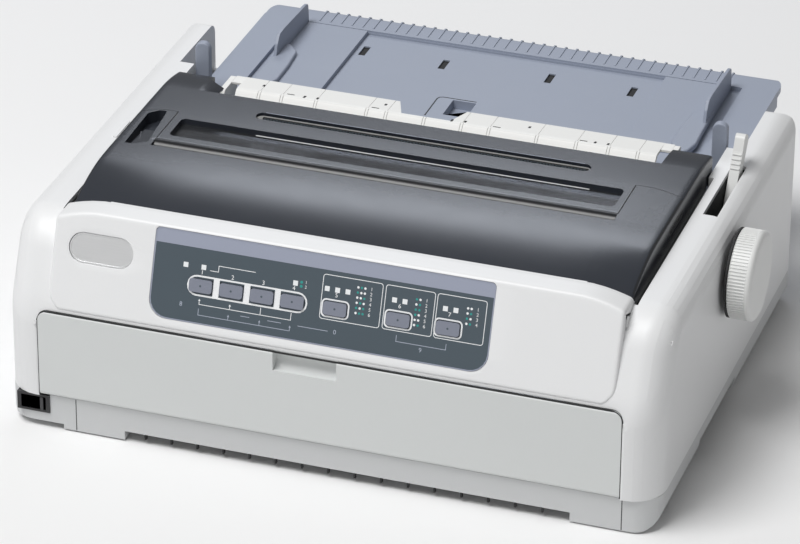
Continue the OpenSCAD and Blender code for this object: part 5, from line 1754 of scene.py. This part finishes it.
def make_floor():
    """A wide pale floor under the feet."""
    floor = Form().box((-FLOOR_HALF, -FLOOR_HALF, -20), (FLOOR_HALF, FLOOR_HALF, 0))
    slab = new_object("studio_floor", floor.mesh("studio_floor"))
    material, tree, shader = blank_material("floor_paper")
    surface = placed_group(tree, moulded_surface(), Color=FLOOR_GREY, Mottle=0.004,
                           Grain_Scale=300.0, Grain_Height=0.00002, Polish=0.85,
                           Polish_Spread=0.04)
    plug_in(tree, surface, shader, ("Color", "Roughness"))
    shader.inputs["Specular IOR Level"].default_value = FLOOR_SHEEN
    slab.data.materials.append(material)


def make_lights():
    """Each light: where it stands, what it points at (in metres), its size and its watts."""
    area_light("key_softbox", (-1.0, -1.3, 3.5), (0, 0, 0.08), (2.0, 2.0), 125)
    area_light("back_softbox", (-0.48, 1.34, 1.165), (0, -0.08, 0.15), (0.6, 0.3), 3.3,
               (0.92, 0.97, 1.06))
    area_light("front_fill", (0.4, -3.2, 1.3), (0, 0, 0.08), (2.2, 1.4), 7)


def make_camera():
    """A camera that looks at its target from a distance, turned by azimuth, elevation, roll."""
    a, e, r = CAMERA_AZIMUTH, CAMERA_ELEVATION, CAMERA_ROLL
    forward = Vector((-math.sin(a) * math.cos(e), math.cos(a) * math.cos(e), -math.sin(e)))
    level = Vector((math.cos(a), math.sin(a), 0.0))
    upward = level.cross(forward)
    right = level * math.cos(r) + upward * math.sin(r)
    top = upward * math.cos(r) - level * math.sin(r)
    data = bpy.data.cameras.new("camera")
    data.lens = CAMERA_LENS
    data.sensor_width = CAMERA_SENSOR
    data.sensor_fit = "HORIZONTAL"
    data.clip_end = CAMERA_REACH
    camera = bpy.data.objects.new("camera", data)
    bpy.context.scene.collection.objects.link(camera)
    turn = Matrix((right, top, -forward)).transposed().to_4x4()
    spot = place(CAMERA_TARGET) - forward * (CAMERA_DISTANCE * MM)
    camera.matrix_world = Matrix.Translation(spot) @ turn
    bpy.context.scene.camera = camera


def make_stage():
    """The floor, the even backdrop, the lights and the camera."""
    make_floor()
    scene = bpy.context.scene
    world = bpy.data.worlds.new("studio")
    scene.world = world
    world.use_nodes = True
    backdrop = world.node_tree.nodes["Background"]
    backdrop.inputs["Color"].default_value = (1.0, 1.0, 1.0, 1)
    backdrop.inputs["Strength"].default_value = BACKDROP_LIGHT
    make_lights()
    make_camera()
    scene.view_settings.view_transform = "Standard"


# ---------------------------------------------------------------- settings, operators and panel

def colour_setting(name, description, default):
    """A colour that the sidebar shows."""
    return FloatVectorProperty(name=name, description=description, default=default,
                               subtype="COLOR", size=3, min=0.0, max=1.0)


class PRINTER_PG_look(bpy.types.PropertyGroup):
    """Colours and sizes that a user would change."""

    casing: colour_setting("Casing", "Colour of the upper casing", (0.785, 0.79, 0.795))
    door: colour_setting("Door", "Colour of the front door", (0.672, 0.69, 0.685))
    base: colour_setting("Base", "Colour of the base", (0.60, 0.61, 0.615))
    cover: colour_setting("Cover", "Colour of the smoked access cover", (0.026, 0.030, 0.039))
    panel: colour_setting("Panel", "Colour of the control panel film", (0.070, 0.093, 0.112))
    band: colour_setting("Band", "Colour of the band along the top of the panel",
                         (0.32, 0.345, 0.43))
    key: colour_setting("Keys", "Colour of the keys", (0.22, 0.236, 0.29))
    tray: colour_setting("Tray", "Colour of the sheet tray and paper guides", (0.31, 0.345, 0.425))
    bar: colour_setting("Roller bar", "Colour of the roller bar", (0.82, 0.82, 0.80))
    knob: colour_setting("Knob", "Colour of the knob and the lever", (0.74, 0.745, 0.735))
    knob_radius: FloatProperty(name="Knob radius",
                               description="Radius of the platen knob over its ribs",
                               default=0.0295, min=0.02, max=0.035,
                               unit="LENGTH", subtype="DISTANCE")
    knob_ribs: IntProperty(name="Knob ribs", description="Number of grip ribs round the knob",
                           default=84, min=40, max=140)


class PrinterStep:
    """What every building step shares."""

    bl_options = {"REGISTER", "UNDO"}

    def execute(self, context):
        if not FINISHES:
            make_finishes(context.scene.printer_look)
        self.build(context.scene.printer_look)
        return {"FINISHED"}


class PRINTER_OT_casing(PrinterStep, bpy.types.Operator):
    """Builds the upper casing, the base and the feet"""

    bl_idname = "printer.casing"
    bl_label = "Casing"

    def build(self, look):
        make_casing()


class PRINTER_OT_door(PrinterStep, bpy.types.Operator):
    """Builds the fold-down front door"""

    bl_idname = "printer.door"
    bl_label = "Front door"

    def build(self, look):
        make_door()


class PRINTER_OT_cover(PrinterStep, bpy.types.Operator):
    """Builds the access cover with its window, pocket and paper slot"""

    bl_idname = "printer.cover"
    bl_label = "Access cover"

    def build(self, look):
        make_cover()


class PRINTER_OT_panel(PrinterStep, bpy.types.Operator):
    """Builds the control panel, its keys, lamps and badge plate"""

    bl_idname = "printer.panel"
    bl_label = "Control panel"

    def build(self, look):
        make_panel()


class PRINTER_OT_switch(PrinterStep, bpy.types.Operator):
    """Builds the power switch"""

    bl_idname = "printer.switch"
    bl_label = "Power switch"

    def build(self, look):
        make_switch()


class PRINTER_OT_tray(PrinterStep, bpy.types.Operator):
    """Builds the sheet tray and the two paper guides"""

    bl_idname = "printer.tray"
    bl_label = "Sheet tray"

    def build(self, look):
        make_tray()


class PRINTER_OT_roller_bar(PrinterStep, bpy.types.Operator):
    """Builds the white roller bar and its brackets"""

    bl_idname = "printer.roller_bar"
    bl_label = "Roller bar"

    def build(self, look):
        make_roller_bar()


class PRINTER_OT_knob(PrinterStep, bpy.types.Operator):
    """Builds the platen knob"""

    bl_idname = "printer.knob"
    bl_label = "Platen knob"

    def build(self, look):
        make_knob(look)
        make_knob_gap()


class PRINTER_OT_lever(PrinterStep, bpy.types.Operator):
    """Builds the paper lever and its slot"""

    bl_idname = "printer.lever"
    bl_label = "Paper lever"

    def build(self, look):
        make_lever()


class PRINTER_OT_mechanism(PrinterStep, bpy.types.Operator):
    """Finishes the chassis, platen, gears, carriage and tractors"""

    bl_idname = "printer.mechanism"
    bl_label = "Mechanism"

    def build(self, look):
        make_mechanism()


class PRINTER_OT_electrics(PrinterStep, bpy.types.Operator):
    """Finishes the boards, the power supply and the sockets"""

    bl_idname = "printer.electrics"
    bl_label = "Electrics"

    def build(self, look):
        make_electrics()


class PRINTER_OT_stage(PrinterStep, bpy.types.Operator):
    """Sets the floor, the lights and the camera"""

    bl_idname = "printer.stage"
    bl_label = "Stage"

    def build(self, look):
        make_stage()


STEPS = (PRINTER_OT_stage, PRINTER_OT_casing, PRINTER_OT_door, PRINTER_OT_cover,
         PRINTER_OT_panel, PRINTER_OT_switch, PRINTER_OT_tray, PRINTER_OT_roller_bar,
         PRINTER_OT_knob, PRINTER_OT_lever, PRINTER_OT_mechanism, PRINTER_OT_electrics)


class PRINTER_PT_sidebar(bpy.types.Panel):
    """Lists the building steps and the settings"""

    bl_idname = "PRINTER_PT_sidebar"
    bl_label = "Dot Matrix Printer"
    bl_space_type = "VIEW_3D"
    bl_region_type = "UI"
    bl_category = "Printer"

    def draw(self, context):
        look = context.scene.printer_look
        for key in look.bl_rna.properties.keys():
            if key not in ("rna_type", "name"):
                self.layout.prop(look, key)
        for step in STEPS:
            self.layout.operator(step.bl_idname)


CLASSES = (PRINTER_PG_look, *STEPS, PRINTER_PT_sidebar)


def register():
    """Registers the classes and the settings."""
    for cls in CLASSES:
        bpy.utils.register_class(cls)
    bpy.types.Scene.printer_look = PointerProperty(type=PRINTER_PG_look)


def unregister():
    """Takes the settings and the classes out again."""
    del bpy.types.Scene.printer_look
    for cls in reversed(CLASSES):
        bpy.utils.unregister_class(cls)


def main():
    """Builds everything by the operators."""
    register()
    for step in STEPS:
        group, name = step.bl_idname.split(".")
        getattr(getattr(bpy.ops, group), name)()


if __name__ == "__main__":
    main()
